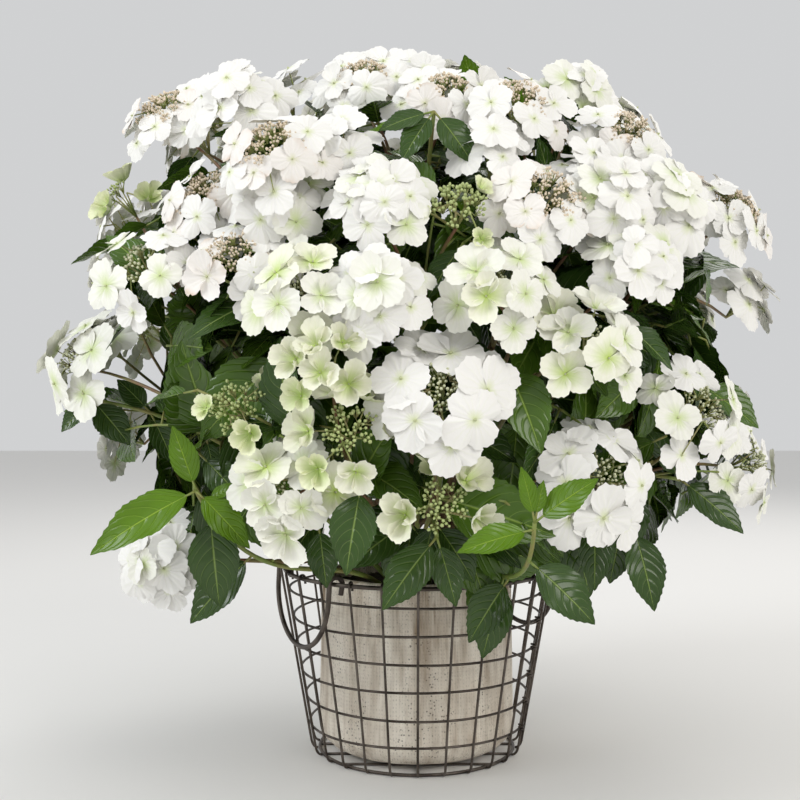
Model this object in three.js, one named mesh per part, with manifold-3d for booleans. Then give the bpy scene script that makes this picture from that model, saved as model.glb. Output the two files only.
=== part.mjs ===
import * as THREE from 'three';
import { mergeVertices } from 'three/addons/utils/BufferGeometryUtils.js';
import Module from 'manifold-3d';

// A white hydrangea shrub in a fluted pot that stands in a round wire basket.
// Millimetres, +Z up, -Y to the front; z = 0 is the surface that the basket stands on.

const wasm = await Module();
wasm.setup();

// Space kept between pieces that touch on the real object
const GAP = 0.3;

// Wire basket
const RIM_RADIUS = 120;
const RIM_WIRE = 3.7;
const RIM_HEIGHT = 163.1;
const MESH_WIRE = 2.2;
const WALL_SLOPE = 0.156;
const UPRIGHTS = 26;
const HOOPS = 6;
const TOP_HOOP_HEIGHT = 146;
const HOOP_SPACING = 24;
const WELD_DEPTH = 0.5;
const CORNER_RADIUS = 10;
const BASE_RING_RADIUS = 88;
const BASE_RING_WIRE = 3;
const BASE_WIRES = 5;
const BASE_WIRE_SPACING = 29;
const BASE_WIRE = 2.4;

// Bail handles: a U of stout wire whose hooked ends hang on the rim
const HANDLE_HEADINGS = { handle_left: -62.3, handle_right: 117.7 };
const HANDLE_HALF_ANGLE = 27.7;
const HANDLE_WIRE = 4.4;
const HANDLE_DROP = 61;
const HANDLE_LEG = 12;
const HANDLE_LEAN = 3;
const HANDLE_SWING = 90;
const HOOK_BORE = 7.4;
const HOOK_TAIL = 9;

// Fluted pot and its compost
const POT_FOOT_HEIGHT = 4.4;
const POT_HEIGHT = 160;
const POT_RADIUS = 88.5;
const POT_RIM_RADIUS = 86.5;
const POT_FOOT_RADIUS = 66;
const POT_WALL = 9.5;
const POT_FLOOR = 12;
const FLUTES = 24;
const FLUTE_DEPTH = 1.6;
const SOIL_HEIGHT = 148;

// Crown: flower heads lie on an ellipsoid, in directions from the middle of the pot's mouth
const CROWN_ROOT = new THREE.Vector3(0, 0, 165);
const CROWN_CENTRE = new THREE.Vector3(-5, 0, 345);
const CROWN_RADII = new THREE.Vector3(325, 275, 285);

// Masses of foliage. Each flower head stands in its own direction: a heading in degrees from the
// front, to the right, and a rise above level, at `push` times the crown's surface. A mass's own
// direction is the mean of its heads'. A leader's limb is a cane from the compost; the limbs of
// the others branch off the leader with the nearest heading.
const NEAR_SIDE = [
  { name: 'top', leader: true, push: 0.96, heads: [[-20, 73], [8, 68]] },
  { name: 'upper_left', leader: true, push: 1.03, heads: [[-69, 60], [-40, 60], [-25, 53]] },
  { name: 'top_right', leader: true, push: 0.99, heads: [[23, 63], [61, 69], [49, 59]] },
  { name: 'right', leader: true, push: 1.01, heads: [[46, 49], [73, 48]] },
  { name: 'left', push: 0.94, heads: [[-43, 52], [-32, 45], [-27, 52]] },
  { name: 'left_arm', push: 0.97, heads: [[-74, 51], [-49, 42]] },
  { name: 'far_left', push: 0.93, heads: [[-78, 32], [-30, 29]] },
  { name: 'middle', push: 0.99, heads: [[6, 49], [-7, 50]] },
  { name: 'right_upper', push: 0.99, heads: [[21, 50], [33, 50]] },
  { name: 'mid_left', push: 0.99, heads: [[-18, 40], [-7, 40]] },
  { name: 'mid_right', push: 0.99, heads: [[35, 43], [26, 35], [12, 41]] },
  { name: 'left_low', push: 0.98, heads: [[-11, 26], [-21, 19], [-14, 33]] },
  { name: 'front', push: 1.0, heads: [[3, 17], [3, 30]] },
  { name: 'far_right', push: 0.97, heads: [[48, 27], [74, 19]] },
  { name: 'low_right', push: 0.99, heads: [[29, 20]] },
  { name: 'low_left', push: 0.97, heads: [[-55, 6]] },
];
// The far side has no view of its own: its masses stand in three tiers, at [heading, push], with
// the heads of each evenly on a cone of `spread` degrees
const FAR_SIDE_TIERS = [
  { tier: 'upper', leader: true, places: [[115, 0.97], [180, 0.97], [-115, 0.97]], rise: 69, count: 4, spread: 15 },
  { tier: 'mid', places: [[98, 0.88], [139, 0.97], [180, 0.97], [-139, 0.97], [-98, 0.88]], rise: 33, count: 3,
    spread: 10 },
  { tier: 'low', places: [[152, 0.95], [-150, 0.95]], rise: 15, count: 2, spread: 8 },
];

// Leaves hang no lower than the skirt, which rises outward from the basket
const SKIRT_HEIGHT = 135;
const SKIRT_RADIUS = 180;
const SKIRT_SLOPE = 0.5;

// Stems: radii at root and tip; a limb ends, and its mass begins, at FORK_SHARE of the reach
const CANE_RADII = [3.6, 2.3];
const BOUGH_RADII = [2.6, 2.0];
const STEM_RADII = [1.9, 1.8];
const TWIG_RADII = [1.8, 1.6];
const LIMB_STEPS = 4;
const LIMB_SIDES = 4;
const CANE_CIRCLE = 26;
const FORK_SHARE = 0.5;
const NODE_SHARE = 0.68;

// Leaves and flower heads
const LEAF = { length: 88, width: 50, thickness: 1.8, widest: 0.42, sunk: 0.5, splay: 62, droop: 0.35 };
const HEAD = { lobes: 5, radius: 60, notch: 44, least: 18, crown: 17, under: 5, fall: 6 };
const HEAD_LIFT = 0.15;
const HEAD_TO_LIGHT = 0.7;
const HEAD_SIZES = [1, 0.8, 0.65, 0.5];
const HEAD_TWIG_PAIRS = [0.75, 0.42, 0.12];
const SHOOT_PAIRS = [0.96, 0.6, 0.3];
const FIRST_PAIR_TURN = 30;
const LEAF_TURNS = [0, 35, -35, 65];
const LEAVES_PER_MASS = 10;
const SHOOTS_PER_MASS = 2;
const SHOOT_SPREAD = 19;
const SHOOT_TURN = 240;
const SHOOT_REACH = 0.95;
const FIRST_TWIG_SHARE = 0.6;
const STALK_SITES = [0.25, 0.5, 0.75, 1];
const SPACE_MARGIN = 0.8;
const LIMB_MARGIN = 0.6;

const GOLDEN_ANGLE = 137.508;
const UP = new THREE.Vector3(0, 0, 1);
const FRONT = new THREE.Vector3(0, -1, 0);
const rad = THREE.MathUtils.degToRad;
const deg = THREE.MathUtils.radToDeg;

// Seeded numbers from 0 to 1
function seededRandom(seed) {
  let state = seed >>> 0;
  return () => {
    state = (state + 0x6d2b79f5) >>> 0;
    let value = Math.imul(state ^ (state >>> 15), 1 | state);
    value = (value + Math.imul(value ^ (value >>> 7), 61 | value)) ^ value;
    return ((value ^ (value >>> 14)) >>> 0) / 4294967296;
  };
}

// Solids for joining and cutting

function solidOf(geometry) {
  const bare = geometry.clone();
  bare.deleteAttribute('normal');
  bare.deleteAttribute('uv');
  const merged = mergeVertices(bare, 1e-4);
  return new wasm.Manifold(new wasm.Mesh({
    numProp: 3,
    vertProperties: new Float32Array(merged.attributes.position.array),
    triVerts: new Uint32Array(merged.index.array),
  }));
}

function geometryOf(solid) {
  const mesh = solid.getMesh();
  const geometry = new THREE.BufferGeometry();
  geometry.setAttribute('position', new THREE.BufferAttribute(mesh.vertProperties, 3));
  geometry.setIndex(new THREE.BufferAttribute(mesh.triVerts, 1));
  geometry.computeVertexNormals();
  return geometry;
}

const placed = (solid, matrix) => solid.transform(matrix.elements);
const touches = (one, other) => !one.intersect(other).isEmpty();

// The largest closed body of a solid: loose scraps and sealed hollows drop out
function largestBody(solid) {
  const bodies = solid.decompose();
  return bodies.reduce((best, body) => (body.volume() > best.volume() ? body : best));
}

// A cylinder bent along stations, with its radius running evenly from root to tip
function tube(points, tangents, [rootRadius, tipRadius], sides, across) {
  const steps = points.length - 1;
  const geometry = new THREE.CylinderGeometry(1, 1, 1, sides, steps);
  const position = geometry.attributes.position;
  const frames = [];
  let right = across.clone();
  points.forEach((point, i) => {
    right = right.clone().addScaledVector(tangents[i], -right.dot(tangents[i])).normalize();
    frames.push({ point, right, front: right.clone().cross(tangents[i]) });
  });
  for (let i = 0; i < position.count; i++) {
    const step = Math.round((position.getY(i) + 0.5) * steps);
    const radius = THREE.MathUtils.lerp(rootRadius, tipRadius, step / steps);
    const { point, right: side, front } = frames[step];
    const at = point.clone().addScaledVector(side, position.getX(i) * radius);
    at.addScaledVector(front, position.getZ(i) * radius);
    position.setXYZ(i, at.x, at.y, at.z);
  }
  return geometry;
}

function tangentsOf(points) {
  return points.map((_, i) => {
    const before = points[Math.max(i - 1, 0)];
    const after = points[Math.min(i + 1, points.length - 1)];
    return after.clone().sub(before).normalize();
  });
}

function curveTube(curve, steps, radii, sides) {
  const points = curve.getSpacedPoints(steps);
  const tangents = points.map((_, i) => curve.getTangentAt(i / steps));
  return tube(points, tangents, radii, sides, perpendicularTo(tangents[0]));
}

function perpendicularTo(direction) {
  const level = new THREE.Vector3().crossVectors(direction, UP);
  return level.lengthSq() > 1e-4 ? level.normalize() : new THREE.Vector3(1, 0, 0);
}

// A profile of [radius, height] points turned about Z; the outer side runs upward
function turned(profile, segments) {
  const points = profile.map(([radius, height]) => new THREE.Vector2(radius, height));
  return new THREE.LatheGeometry(points, segments).rotateX(Math.PI / 2);
}

// Wire basket

const wallRadius = (height) => RIM_RADIUS - WALL_SLOPE * (RIM_HEIGHT - height);

function uprightWire() {
  const top = RIM_HEIGHT - RIM_WIRE / 2 - GAP;
  const footHeight = MESH_WIRE / 2 + GAP;
  const footRadius = BASE_RING_RADIUS + BASE_RING_WIRE / 2 + GAP;
  const corner = new THREE.QuadraticBezierCurve3(
    new THREE.Vector3(wallRadius(CORNER_RADIUS), 0, CORNER_RADIUS),
    new THREE.Vector3(wallRadius(footHeight), 0, footHeight),
    new THREE.Vector3(footRadius, 0, footHeight),
  );
  const shares = [0, 1 / 3, 2 / 3, 1];
  const points = [new THREE.Vector3(wallRadius(top), 0, top), ...shares.map((t) => corner.getPoint(t))];
  const tangents = [corner.getTangent(0), ...shares.map((t) => corner.getTangent(t))];
  const radius = MESH_WIRE / 2;
  return solidOf(tube(points, tangents, [radius, radius], 3, new THREE.Vector3(0, 1, 0)));
}

// Hoops lie inside the uprights, pressed into them where they are welded
function hoopWire(height) {
  const reach = wallRadius(height) - MESH_WIRE + WELD_DEPTH;
  const ringRadius = reach / Math.cos(Math.PI / UPRIGHTS);
  return solidOf(new THREE.TorusGeometry(ringRadius, MESH_WIRE / 2, 3, UPRIGHTS).translate(0, 0, height));
}

function basketWall() {
  const upright = uprightWire();
  const wires = [];
  for (let i = 0; i < UPRIGHTS; i++) {
    wires.push(upright.rotate([0, 0, -90 + (i * 360) / UPRIGHTS]));
  }
  for (let i = 0; i < HOOPS; i++) {
    wires.push(hoopWire(TOP_HOOP_HEIGHT - i * HOOP_SPACING));
  }
  return geometryOf(wasm.Manifold.union(wires).simplify(0.05));
}

// The base is a flat-bottomed ring with parallel wires across it and one wire crossing them
function basketBase() {
  const inner = BASE_RING_RADIUS - BASE_RING_WIRE / 2;
  const outer = BASE_RING_RADIUS + BASE_RING_WIRE / 2;
  const wires = [solidOf(turned(
    [[inner, 0], [outer, 0], [outer, BASE_RING_WIRE], [inner, BASE_RING_WIRE], [inner, 0]], UPRIGHTS))];
  for (let i = 0; i < BASE_WIRES; i++) {
    const offset = (i - (BASE_WIRES - 1) / 2) * BASE_WIRE_SPACING;
    const length = 2 * Math.sqrt(BASE_RING_RADIUS ** 2 - offset ** 2);
    wires.push(solidOf(new THREE.BoxGeometry(length, BASE_WIRE, BASE_WIRE)
      .translate(0, offset, BASE_WIRE / 2)));
  }
  wires.push(solidOf(new THREE.BoxGeometry(BASE_WIRE, 2 * BASE_RING_RADIUS, BASE_WIRE)
    .translate(0, 0, BASE_WIRE)));
  return geometryOf(wasm.Manifold.union(wires));
}

function basketRim() {
  return new THREE.TorusGeometry(RIM_RADIUS, RIM_WIRE / 2, 4, 2 * UPRIGHTS).translate(0, 0, RIM_HEIGHT);
}

// Handles. In a handle's own frame x runs along the line of its two hooks, y points out of the
// basket and z up; the origin is the middle of the hinge line.

const HINGE_OFFSET = RIM_RADIUS * Math.cos(rad(HANDLE_HALF_ANGLE));
const HANDLE_HALF_WIDTH = RIM_RADIUS * Math.sin(rad(HANDLE_HALF_ANGLE));

function handlePlace(heading) {
  const place = new THREE.Matrix4().makeRotationZ(rad(180 + heading));
  return place.multiply(new THREE.Matrix4().makeTranslation(0, HINGE_OFFSET, RIM_HEIGHT));
}

function handleGeometry() {
  const turn = (HOOK_BORE + HANDLE_WIRE) / 2;
  const right = [];
  right.push(new THREE.Vector3(HANDLE_HALF_WIDTH - 2, -turn, -HOOK_TAIL));
  for (let angle = 180; angle >= 0; angle -= 36) {
    right.push(new THREE.Vector3(
      HANDLE_HALF_WIDTH, turn * Math.cos(rad(angle)), turn * Math.sin(rad(angle))));
  }
  for (let angle = 0; angle < 90; angle += 18) {
    right.push(new THREE.Vector3(HANDLE_HALF_WIDTH * Math.cos(rad(angle)), turn,
      -HANDLE_LEG - (HANDLE_DROP - HANDLE_LEG) * Math.sin(rad(angle))));
  }
  const bottom = new THREE.Vector3(0, turn, -HANDLE_DROP);
  const left = right.map((p) => new THREE.Vector3(-p.x, p.y, p.z)).reverse();
  const points = [...right, bottom, ...left];
  const radius = HANDLE_WIRE / 2;
  const wire = tube(points, tangentsOf(points), [radius, radius], 5, new THREE.Vector3(1, 0, 0));
  return wire.rotateX(rad(HANDLE_LEAN));
}

// The room that a handle needs from hanging to level, with the hooks' own
function handleRoom(heading) {
  const reach = HANDLE_DROP + HANDLE_WIRE + 4;
  const sector = new THREE.Shape();
  sector.moveTo(0, 0);
  sector.absarc(0, 0, reach, rad(-95), rad(HANDLE_SWING - 87 + HANDLE_LEAN), false);
  sector.closePath();
  const hooks = new THREE.Shape();
  hooks.absarc(0, 0, HOOK_BORE / 2 + HANDLE_WIRE + 3, 0, 2 * Math.PI, false);
  const width = 2 * HANDLE_HALF_WIDTH + HANDLE_WIRE + 8;
  const rooms = [sector, hooks].map((shape) => solidOf(
    new THREE.ExtrudeGeometry(shape, { depth: width, bevelEnabled: false, curveSegments: 8 })
      .translate(0, 0, -width / 2).applyMatrix4(new THREE.Matrix4().makeBasis(
        new THREE.Vector3(0, 1, 0), UP, new THREE.Vector3(1, 0, 0)))));
  return placed(rooms[0].add(rooms[1]), handlePlace(heading));
}

// Pot and compost

function potGeometry() {
  const shoulder = POT_RADIUS - POT_FOOT_RADIUS;
  const outer = [];
  for (let angle = -90; angle <= 0; angle += 30) {
    outer.push([POT_FOOT_RADIUS + shoulder * Math.cos(rad(angle)),
      POT_FOOT_HEIGHT + shoulder * (1 + Math.sin(rad(angle)))]);
  }
  outer.push([POT_RADIUS, 100]);
  outer.push([POT_RIM_RADIUS, POT_HEIGHT]);
  const inner = [
    [POT_RIM_RADIUS - POT_WALL, POT_HEIGHT],
    [POT_RIM_RADIUS - POT_WALL, POT_FOOT_HEIGHT + POT_FLOOR + shoulder],
    [POT_FOOT_RADIUS, POT_FOOT_HEIGHT + POT_FLOOR],
    [0, POT_FOOT_HEIGHT + POT_FLOOR],
  ];
  const profile = [[0, POT_FOOT_HEIGHT], ...outer, ...inner];
  const pot = turned(profile, 2 * FLUTES);
  const position = pot.attributes.position;
  for (let i = 0; i < position.count; i++) {
    const inProfile = i % profile.length;
    const isRidge = Math.floor(i / profile.length) % 2 === 0;
    if (inProfile > 1 && inProfile <= outer.length && !isRidge) {
      const radius = Math.hypot(position.getX(i), position.getY(i));
      const share = (radius - FLUTE_DEPTH) / radius;
      position.setXY(i, position.getX(i) * share, position.getY(i) * share);
    }
  }
  return pot;
}

function soilGeometry() {
  const shoulder = POT_RADIUS - POT_FOOT_RADIUS;
  const floor = POT_FOOT_HEIGHT + POT_FLOOR;
  const radius = POT_RIM_RADIUS - POT_WALL - 2 * GAP;
  return turned([
    [0, floor + GAP],
    [POT_FOOT_RADIUS - GAP, floor + GAP],
    [radius, floor + shoulder],
    [radius, SOIL_HEIGHT],
    [0, SOIL_HEIGHT],
  ], FLUTES);
}

// Crown

function directionOf(heading, rise) {
  return new THREE.Vector3(
    Math.sin(rad(heading)) * Math.cos(rad(rise)),
    -Math.cos(rad(heading)) * Math.cos(rad(rise)),
    Math.sin(rad(rise)),
  );
}

// How far the crown reaches from its root along a direction
function crownReach(direction) {
  const start = CROWN_ROOT.clone().sub(CROWN_CENTRE).divide(CROWN_RADII);
  const step = direction.clone().divide(CROWN_RADII);
  const a = step.dot(step);
  const b = 2 * start.dot(step);
  const c = start.dot(start) - 1;
  return (-b + Math.sqrt(b * b - 4 * a * c)) / (2 * a);
}

// The direction that leans `spread` degrees off `direction`, toward `turn` degrees from level
function leaned(direction, spread, turn) {
  const level = perpendicularTo(direction);
  const upward = new THREE.Vector3().crossVectors(level, direction);
  const lean = level.multiplyScalar(Math.cos(rad(turn))).addScaledVector(upward, Math.sin(rad(turn)));
  return direction.clone().multiplyScalar(Math.cos(rad(spread)))
    .addScaledVector(lean, Math.sin(rad(spread)));
}

const alongCrown = (direction, share) =>
  CROWN_ROOT.clone().addScaledVector(direction, crownReach(direction) * share);

function layOutMasses() {
  const nearSide = NEAR_SIDE.map((row) => ({
    ...row, near: true, directions: row.heads.map(([heading, rise]) => directionOf(heading, rise)),
  }));
  const farSide = FAR_SIDE_TIERS.flatMap(({ tier, leader, places, rise, count, spread }) =>
    places.map(([heading, push], i) => {
      const middle = directionOf(heading, rise);
      const first = 90 + i * GOLDEN_ANGLE;
      const directions = [...Array(count).keys()].map((k) =>
        leaned(middle, spread, first + (360 * k) / count));
      return { name: `back_${tier}_${i + 1}`, leader, push, near: false, directions };
    }));
  return [...nearSide, ...farSide].map(({ name, leader, push, near, directions }, i) => {
    const direction = directions.reduce((sum, each) => sum.add(each), new THREE.Vector3()).normalize();
    return {
      name, leader, push, near, direction,
      heading: deg(Math.atan2(direction.x, -direction.y)),
      rise: deg(Math.asin(direction.z)),
      heads: directions.map((each) => ({ at: alongCrown(each, push), direction: each })),
      random: seededRandom(i + 1),
      fork: alongCrown(direction, FORK_SHARE * push),
      node: alongCrown(direction, NODE_SHARE * push),
    };
  });
}

const masses = layOutMasses();

// Limbs: canes from the compost, and boughs that branch off them

const headingGap = (a, b) => Math.abs(((a - b + 540) % 360) - 180);

function caneCurve(mass) {
  const spot = directionOf(mass.heading, 0).multiplyScalar(CANE_CIRCLE);
  const foot = spot.setZ(SOIL_HEIGHT + GAP);
  const length = foot.distanceTo(mass.fork);
  return new THREE.CubicBezierCurve3(
    foot,
    foot.clone().addScaledVector(UP, 0.3 * length),
    mass.fork.clone().addScaledVector(mass.direction, -0.35 * length),
    mass.fork,
  );
}

function boughCurve(mass, cane, share) {
  const root = cane.getPointAt(share);
  const length = root.distanceTo(mass.fork);
  const outward = cane.getTangentAt(share).add(mass.direction).normalize();
  return new THREE.CubicBezierCurve3(
    root,
    root.clone().addScaledVector(outward, 0.3 * length),
    mass.fork.clone().addScaledVector(mass.direction, -0.35 * length),
    mass.fork,
  );
}

const limbSolid = (curve, radii, extra = 0) =>
  solidOf(curveTube(curve, LIMB_STEPS, radii.map((radius) => radius + extra), LIMB_SIDES));

function growLimbs() {
  const limbs = [];
  for (const mass of masses.filter((each) => each.leader)) {
    const curve = caneCurve(mass);
    limbs.push({ mass, curve, radii: CANE_RADII, solid: limbSolid(curve, CANE_RADII) });
  }
  const canes = [...limbs];
  for (const cane of canes) {
    const nearest = (mass) => canes.every((other) =>
      headingGap(mass.heading, cane.mass.heading) <= headingGap(mass.heading, other.mass.heading));
    const followers = masses.filter((mass) => !mass.leader && nearest(mass));
    followers.sort((a, b) => a.rise - b.rise);
    followers.forEach((mass, i) => {
      const share = 0.2 + (0.5 * i) / Math.max(followers.length - 1, 1);
      const curve = boughCurve(mass, cane.curve, share);
      const room = limbSolid(cane.curve, CANE_RADII, GAP);
      const solid = largestBody(limbSolid(curve, BOUGH_RADII).subtract(room));
      limbs.push({ mass, curve, radii: BOUGH_RADII, solid });
    });
  }
  return limbs;
}

const limbs = growLimbs();

// What foliage keeps clear of: limbs, the basket with all in it, and the handles' room
function keptClear() {
  const basketRoom = solidOf(new THREE.CylinderGeometry(
    RIM_RADIUS + RIM_WIRE + 1, RIM_RADIUS + RIM_WIRE + 1, RIM_HEIGHT + RIM_WIRE + 1, 26)
    .rotateX(Math.PI / 2).translate(0, 0, (RIM_HEIGHT + RIM_WIRE + 1) / 2));
  const rooms = Object.values(HANDLE_HEADINGS).map(handleRoom);
  const fatLimbs = limbs.map(({ curve, radii }) => limbSolid(curve, radii, LIMB_MARGIN));
  return wasm.Manifold.union([basketRoom, ...rooms, ...fatLimbs]);
}

const keepClear = keptClear();

// A mass owns the space that is nearer to its own stem, stalks and heads than to another's
const sites = masses.flatMap((mass) => {
  const stalks = mass.heads.flatMap(({ at }) =>
    STALK_SITES.map((share) => mass.node.clone().lerp(at, share)));
  return [mass.fork, mass.node, ...stalks].map((at) => ({ mass, at }));
});

function owns(mass, point) {
  let own = Infinity;
  let other = Infinity;
  for (const site of sites) {
    const distance = site.at.distanceTo(point);
    if (site.mass === mass) {
      own = Math.min(own, distance);
    } else {
      other = Math.min(other, distance);
    }
  }
  const outside = Math.max(Math.hypot(point.x, point.y) - SKIRT_RADIUS, 0);
  return other - own > SPACE_MARGIN && point.z > SKIRT_HEIGHT + SKIRT_SLOPE * outside;
}

// Whether a solid lies in its mass's space and clear of everything fixed
function fits(mass, solid) {
  const { vertProperties } = solid.getMesh();
  const points = [];
  for (let i = 0; i < vertProperties.length; i += 3) {
    points.push(new THREE.Vector3(...vertProperties.subarray(i, i + 3)));
  }
  const corners = points.length;
  for (let i = 0; i < corners; i++) {
    for (let j = i + 1; j < corners; j++) {
      points.push(points[i].clone().lerp(points[j], 0.5));
    }
  }
  return points.every((point) => owns(mass, point)) && !touches(solid, keepClear);
}

// A leaf: an octahedron drawn out along x, widest short of its middle, root at the origin
function leafSolid() {
  const leaf = new THREE.OctahedronGeometry(1);
  const position = leaf.attributes.position;
  for (let i = 0; i < position.count; i++) {
    const x = position.getX(i);
    const along = Math.abs(x) < 0.5 ? LEAF.widest : (x + 1) / 2;
    position.setXYZ(i, along * LEAF.length, (position.getY(i) * LEAF.width) / 2,
      (position.getZ(i) * LEAF.thickness) / 2);
  }
  return solidOf(leaf);
}

const leafShape = leafSolid();

// A frame with x along `length`, z as near as it can be to `facing`
function framed(at, length, facing, scale) {
  const x = length.clone().normalize();
  const z = facing.clone().addScaledVector(x, -facing.dot(x)).normalize();
  const y = new THREE.Vector3().crossVectors(z, x);
  return new THREE.Matrix4().makeBasis(x, y, z)
    .scale(new THREE.Vector3(scale, scale, scale)).setPosition(at);
}

// A low dome of buds and florets: a double cone whose edge swells into a lobe for each broad
// floret, drawn in wherever it would leave the mass's space
function headSolid(mass, place, size) {
  const head = new THREE.SphereGeometry(1, 2 * HEAD.lobes, 2).rotateX(Math.PI / 2);
  const position = head.attributes.position;
  for (let i = 0; i < position.count; i++) {
    const angle = Math.atan2(position.getY(i), position.getX(i));
    const isEdge = Math.hypot(position.getX(i), position.getY(i)) > 0.5;
    if (!isEdge) {
      position.setZ(i, position.getZ(i) > 0 ? HEAD.crown : -HEAD.under);
      continue;
    }
    const isLobe = Math.round((angle * HEAD.lobes) / Math.PI) % 2 === 0;
    const edge = (radius) => new THREE.Vector3(
      radius * Math.cos(angle), radius * Math.sin(angle), -HEAD.fall * (radius / HEAD.radius));
    let radius = size * (isLobe ? HEAD.radius : HEAD.notch);
    while (radius > HEAD.least && !owns(mass, edge(radius).applyMatrix4(place))) {
      radius *= 0.9;
    }
    position.setXYZ(i, ...edge(radius));
  }
  return placed(solidOf(head), place);
}

// The largest head that fits at the end of a stalk, if any does.
// Heads face outward and a little up, and the near side's also turn to the light in front.
function flowerHead(mass, { at, direction }) {
  const facing = direction.clone().addScaledVector(UP, HEAD_LIFT);
  facing.addScaledVector(FRONT, mass.near ? HEAD_TO_LIGHT : 0).normalize();
  const place = framed(at, perpendicularTo(facing), facing, 1);
  const sizes = HEAD_SIZES.map((size) => headSolid(mass, place, size));
  return sizes.filter((solid) => fits(mass, solid)).slice(0, 1);
}

function twigSolid(from, to, radii) {
  const along = to.clone().sub(from).normalize();
  return solidOf(tube([from, to], [along, along], radii, 3, perpendicularTo(along)));
}

// Twigs leave the stem in turn, from its middle to its node
function branchTwigs(mass, start) {
  const tips = mass.heads.map(({ at }) => ({ to: at, pairs: HEAD_TWIG_PAIRS }));
  for (let i = 0; i < SHOOTS_PER_MASS; i++) {
    const toward = leaned(mass.direction, SHOOT_SPREAD, i * GOLDEN_ANGLE + SHOOT_TURN);
    tips.push({ to: alongCrown(toward, SHOOT_REACH * mass.push), pairs: SHOOT_PAIRS });
  }
  return tips.map(({ to, pairs }, i) => {
    const from = start.clone().lerp(mass.node, 1 - (FIRST_TWIG_SHARE * i) / tips.length);
    return { from, to, pairs, solid: twigSolid(from, to, TWIG_RADII) };
  }).filter(({ solid }) => fits(mass, solid));
}

// One leaf of an opposite pair, its root in the twig's axis, turned on a little where it must
function leafOn(mass, twig, share, turn, others) {
  const along = twig.to.clone().sub(twig.from).normalize();
  const at = twig.from.clone().lerp(twig.to, share);
  const size = 0.9 + 0.2 * mass.random();
  const droop = LEAF.droop * (0.7 + 0.6 * mass.random());
  for (const extra of LEAF_TURNS) {
    const out = leaned(along, LEAF.splay, turn + extra);
    out.z -= droop;
    out.normalize();
    const root = at.clone().addScaledVector(out, -LEAF.sunk);
    const leaf = placed(leafShape, framed(root, out, along, size));
    if (fits(mass, leaf) && others.every((other) => !touches(leaf, other))) {
      return leaf;
    }
  }
  return null;
}

// Leaves stand crosswise in opposite pairs, and the pairs nearest the twigs' tips come first
function addLeaves(mass, twigs, parts) {
  const places = twigs.flatMap((twig) => twig.pairs.flatMap((share, i) =>
    [0, 180].map((side) => ({ twig, share, order: i, turn: FIRST_PAIR_TURN + 90 * i + side }))));
  places.sort((a, b) => a.order - b.order);
  let count = 0;
  for (const { twig, share, turn } of places) {
    const others = parts.filter((part) => part !== twig.solid);
    const leaf = count < LEAVES_PER_MASS ? leafOn(mass, twig, share, turn, others) : null;
    if (leaf) {
      parts.push(leaf);
      count += 1;
    }
  }
}

function growMass(mass) {
  const start = mass.fork.clone().addScaledVector(mass.direction, GAP);
  const twigs = branchTwigs(mass, start);
  const reached = mass.heads.filter(({ at }) => twigs.some(({ to }) => to === at));
  const heads = reached.flatMap((head) => flowerHead(mass, head));
  const parts = [twigSolid(start, mass.node, STEM_RADII), ...twigs.map(({ solid }) => solid), ...heads];
  addLeaves(mass, twigs, parts);
  return geometryOf(largestBody(wasm.Manifold.union(parts)).simplify(0.03));
}

// The whole object

const WIRE = new THREE.MeshStandardMaterial({ color: 0x4a423c, roughness: 0.55, metalness: 0.8 });
const POT = new THREE.MeshStandardMaterial({ color: 0xbdb3a2, roughness: 0.9, metalness: 0 });
const SOIL = new THREE.MeshStandardMaterial({ color: 0x2b2018, roughness: 1, metalness: 0 });
const BARK = new THREE.MeshStandardMaterial({ color: 0x6d4a2c, roughness: 0.8, metalness: 0 });
const FOLIAGE = new THREE.MeshStandardMaterial({ color: 0x35602f, roughness: 0.5, metalness: 0 });

const group = new THREE.Group();

function addMesh(name, geometry, material) {
  const mesh = new THREE.Mesh(geometry, material);
  mesh.name = name;
  group.add(mesh);
  return mesh;
}

addMesh('basket_rim', basketRim(), WIRE);
addMesh('basket_wall', basketWall(), WIRE);
addMesh('basket_base', basketBase(), WIRE);
for (const [name, heading] of Object.entries(HANDLE_HEADINGS)) {
  addMesh(name, handleGeometry(), WIRE).applyMatrix4(handlePlace(heading));
}
addMesh('pot', potGeometry(), POT);
addMesh('soil', soilGeometry(), SOIL);
for (const { mass, solid } of limbs) {
  addMesh(`${mass.leader ? 'cane' : 'bough'}_${mass.name}`, geometryOf(solid), BARK);
}
for (const mass of masses) {
  addMesh(`foliage_${mass.name}`, growMass(mass), FOLIAGE);
}

export default group;
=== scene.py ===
"""A white hydrangea shrub in a fluted pot that stands in a round wire basket.

Metres, +Z up, -Y to the front; z = 0 is the surface that the basket stands on. The crown grows
by the source's rule: canes rise from the compost, boughs branch off them, and each ends in a
fork. A mass of foliage has one stem from its fork to its node, and stalks lead from that stem
to the flower heads. Here the rule goes on to finer shoots, leaves, florets and buds.
"""
import math

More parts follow.
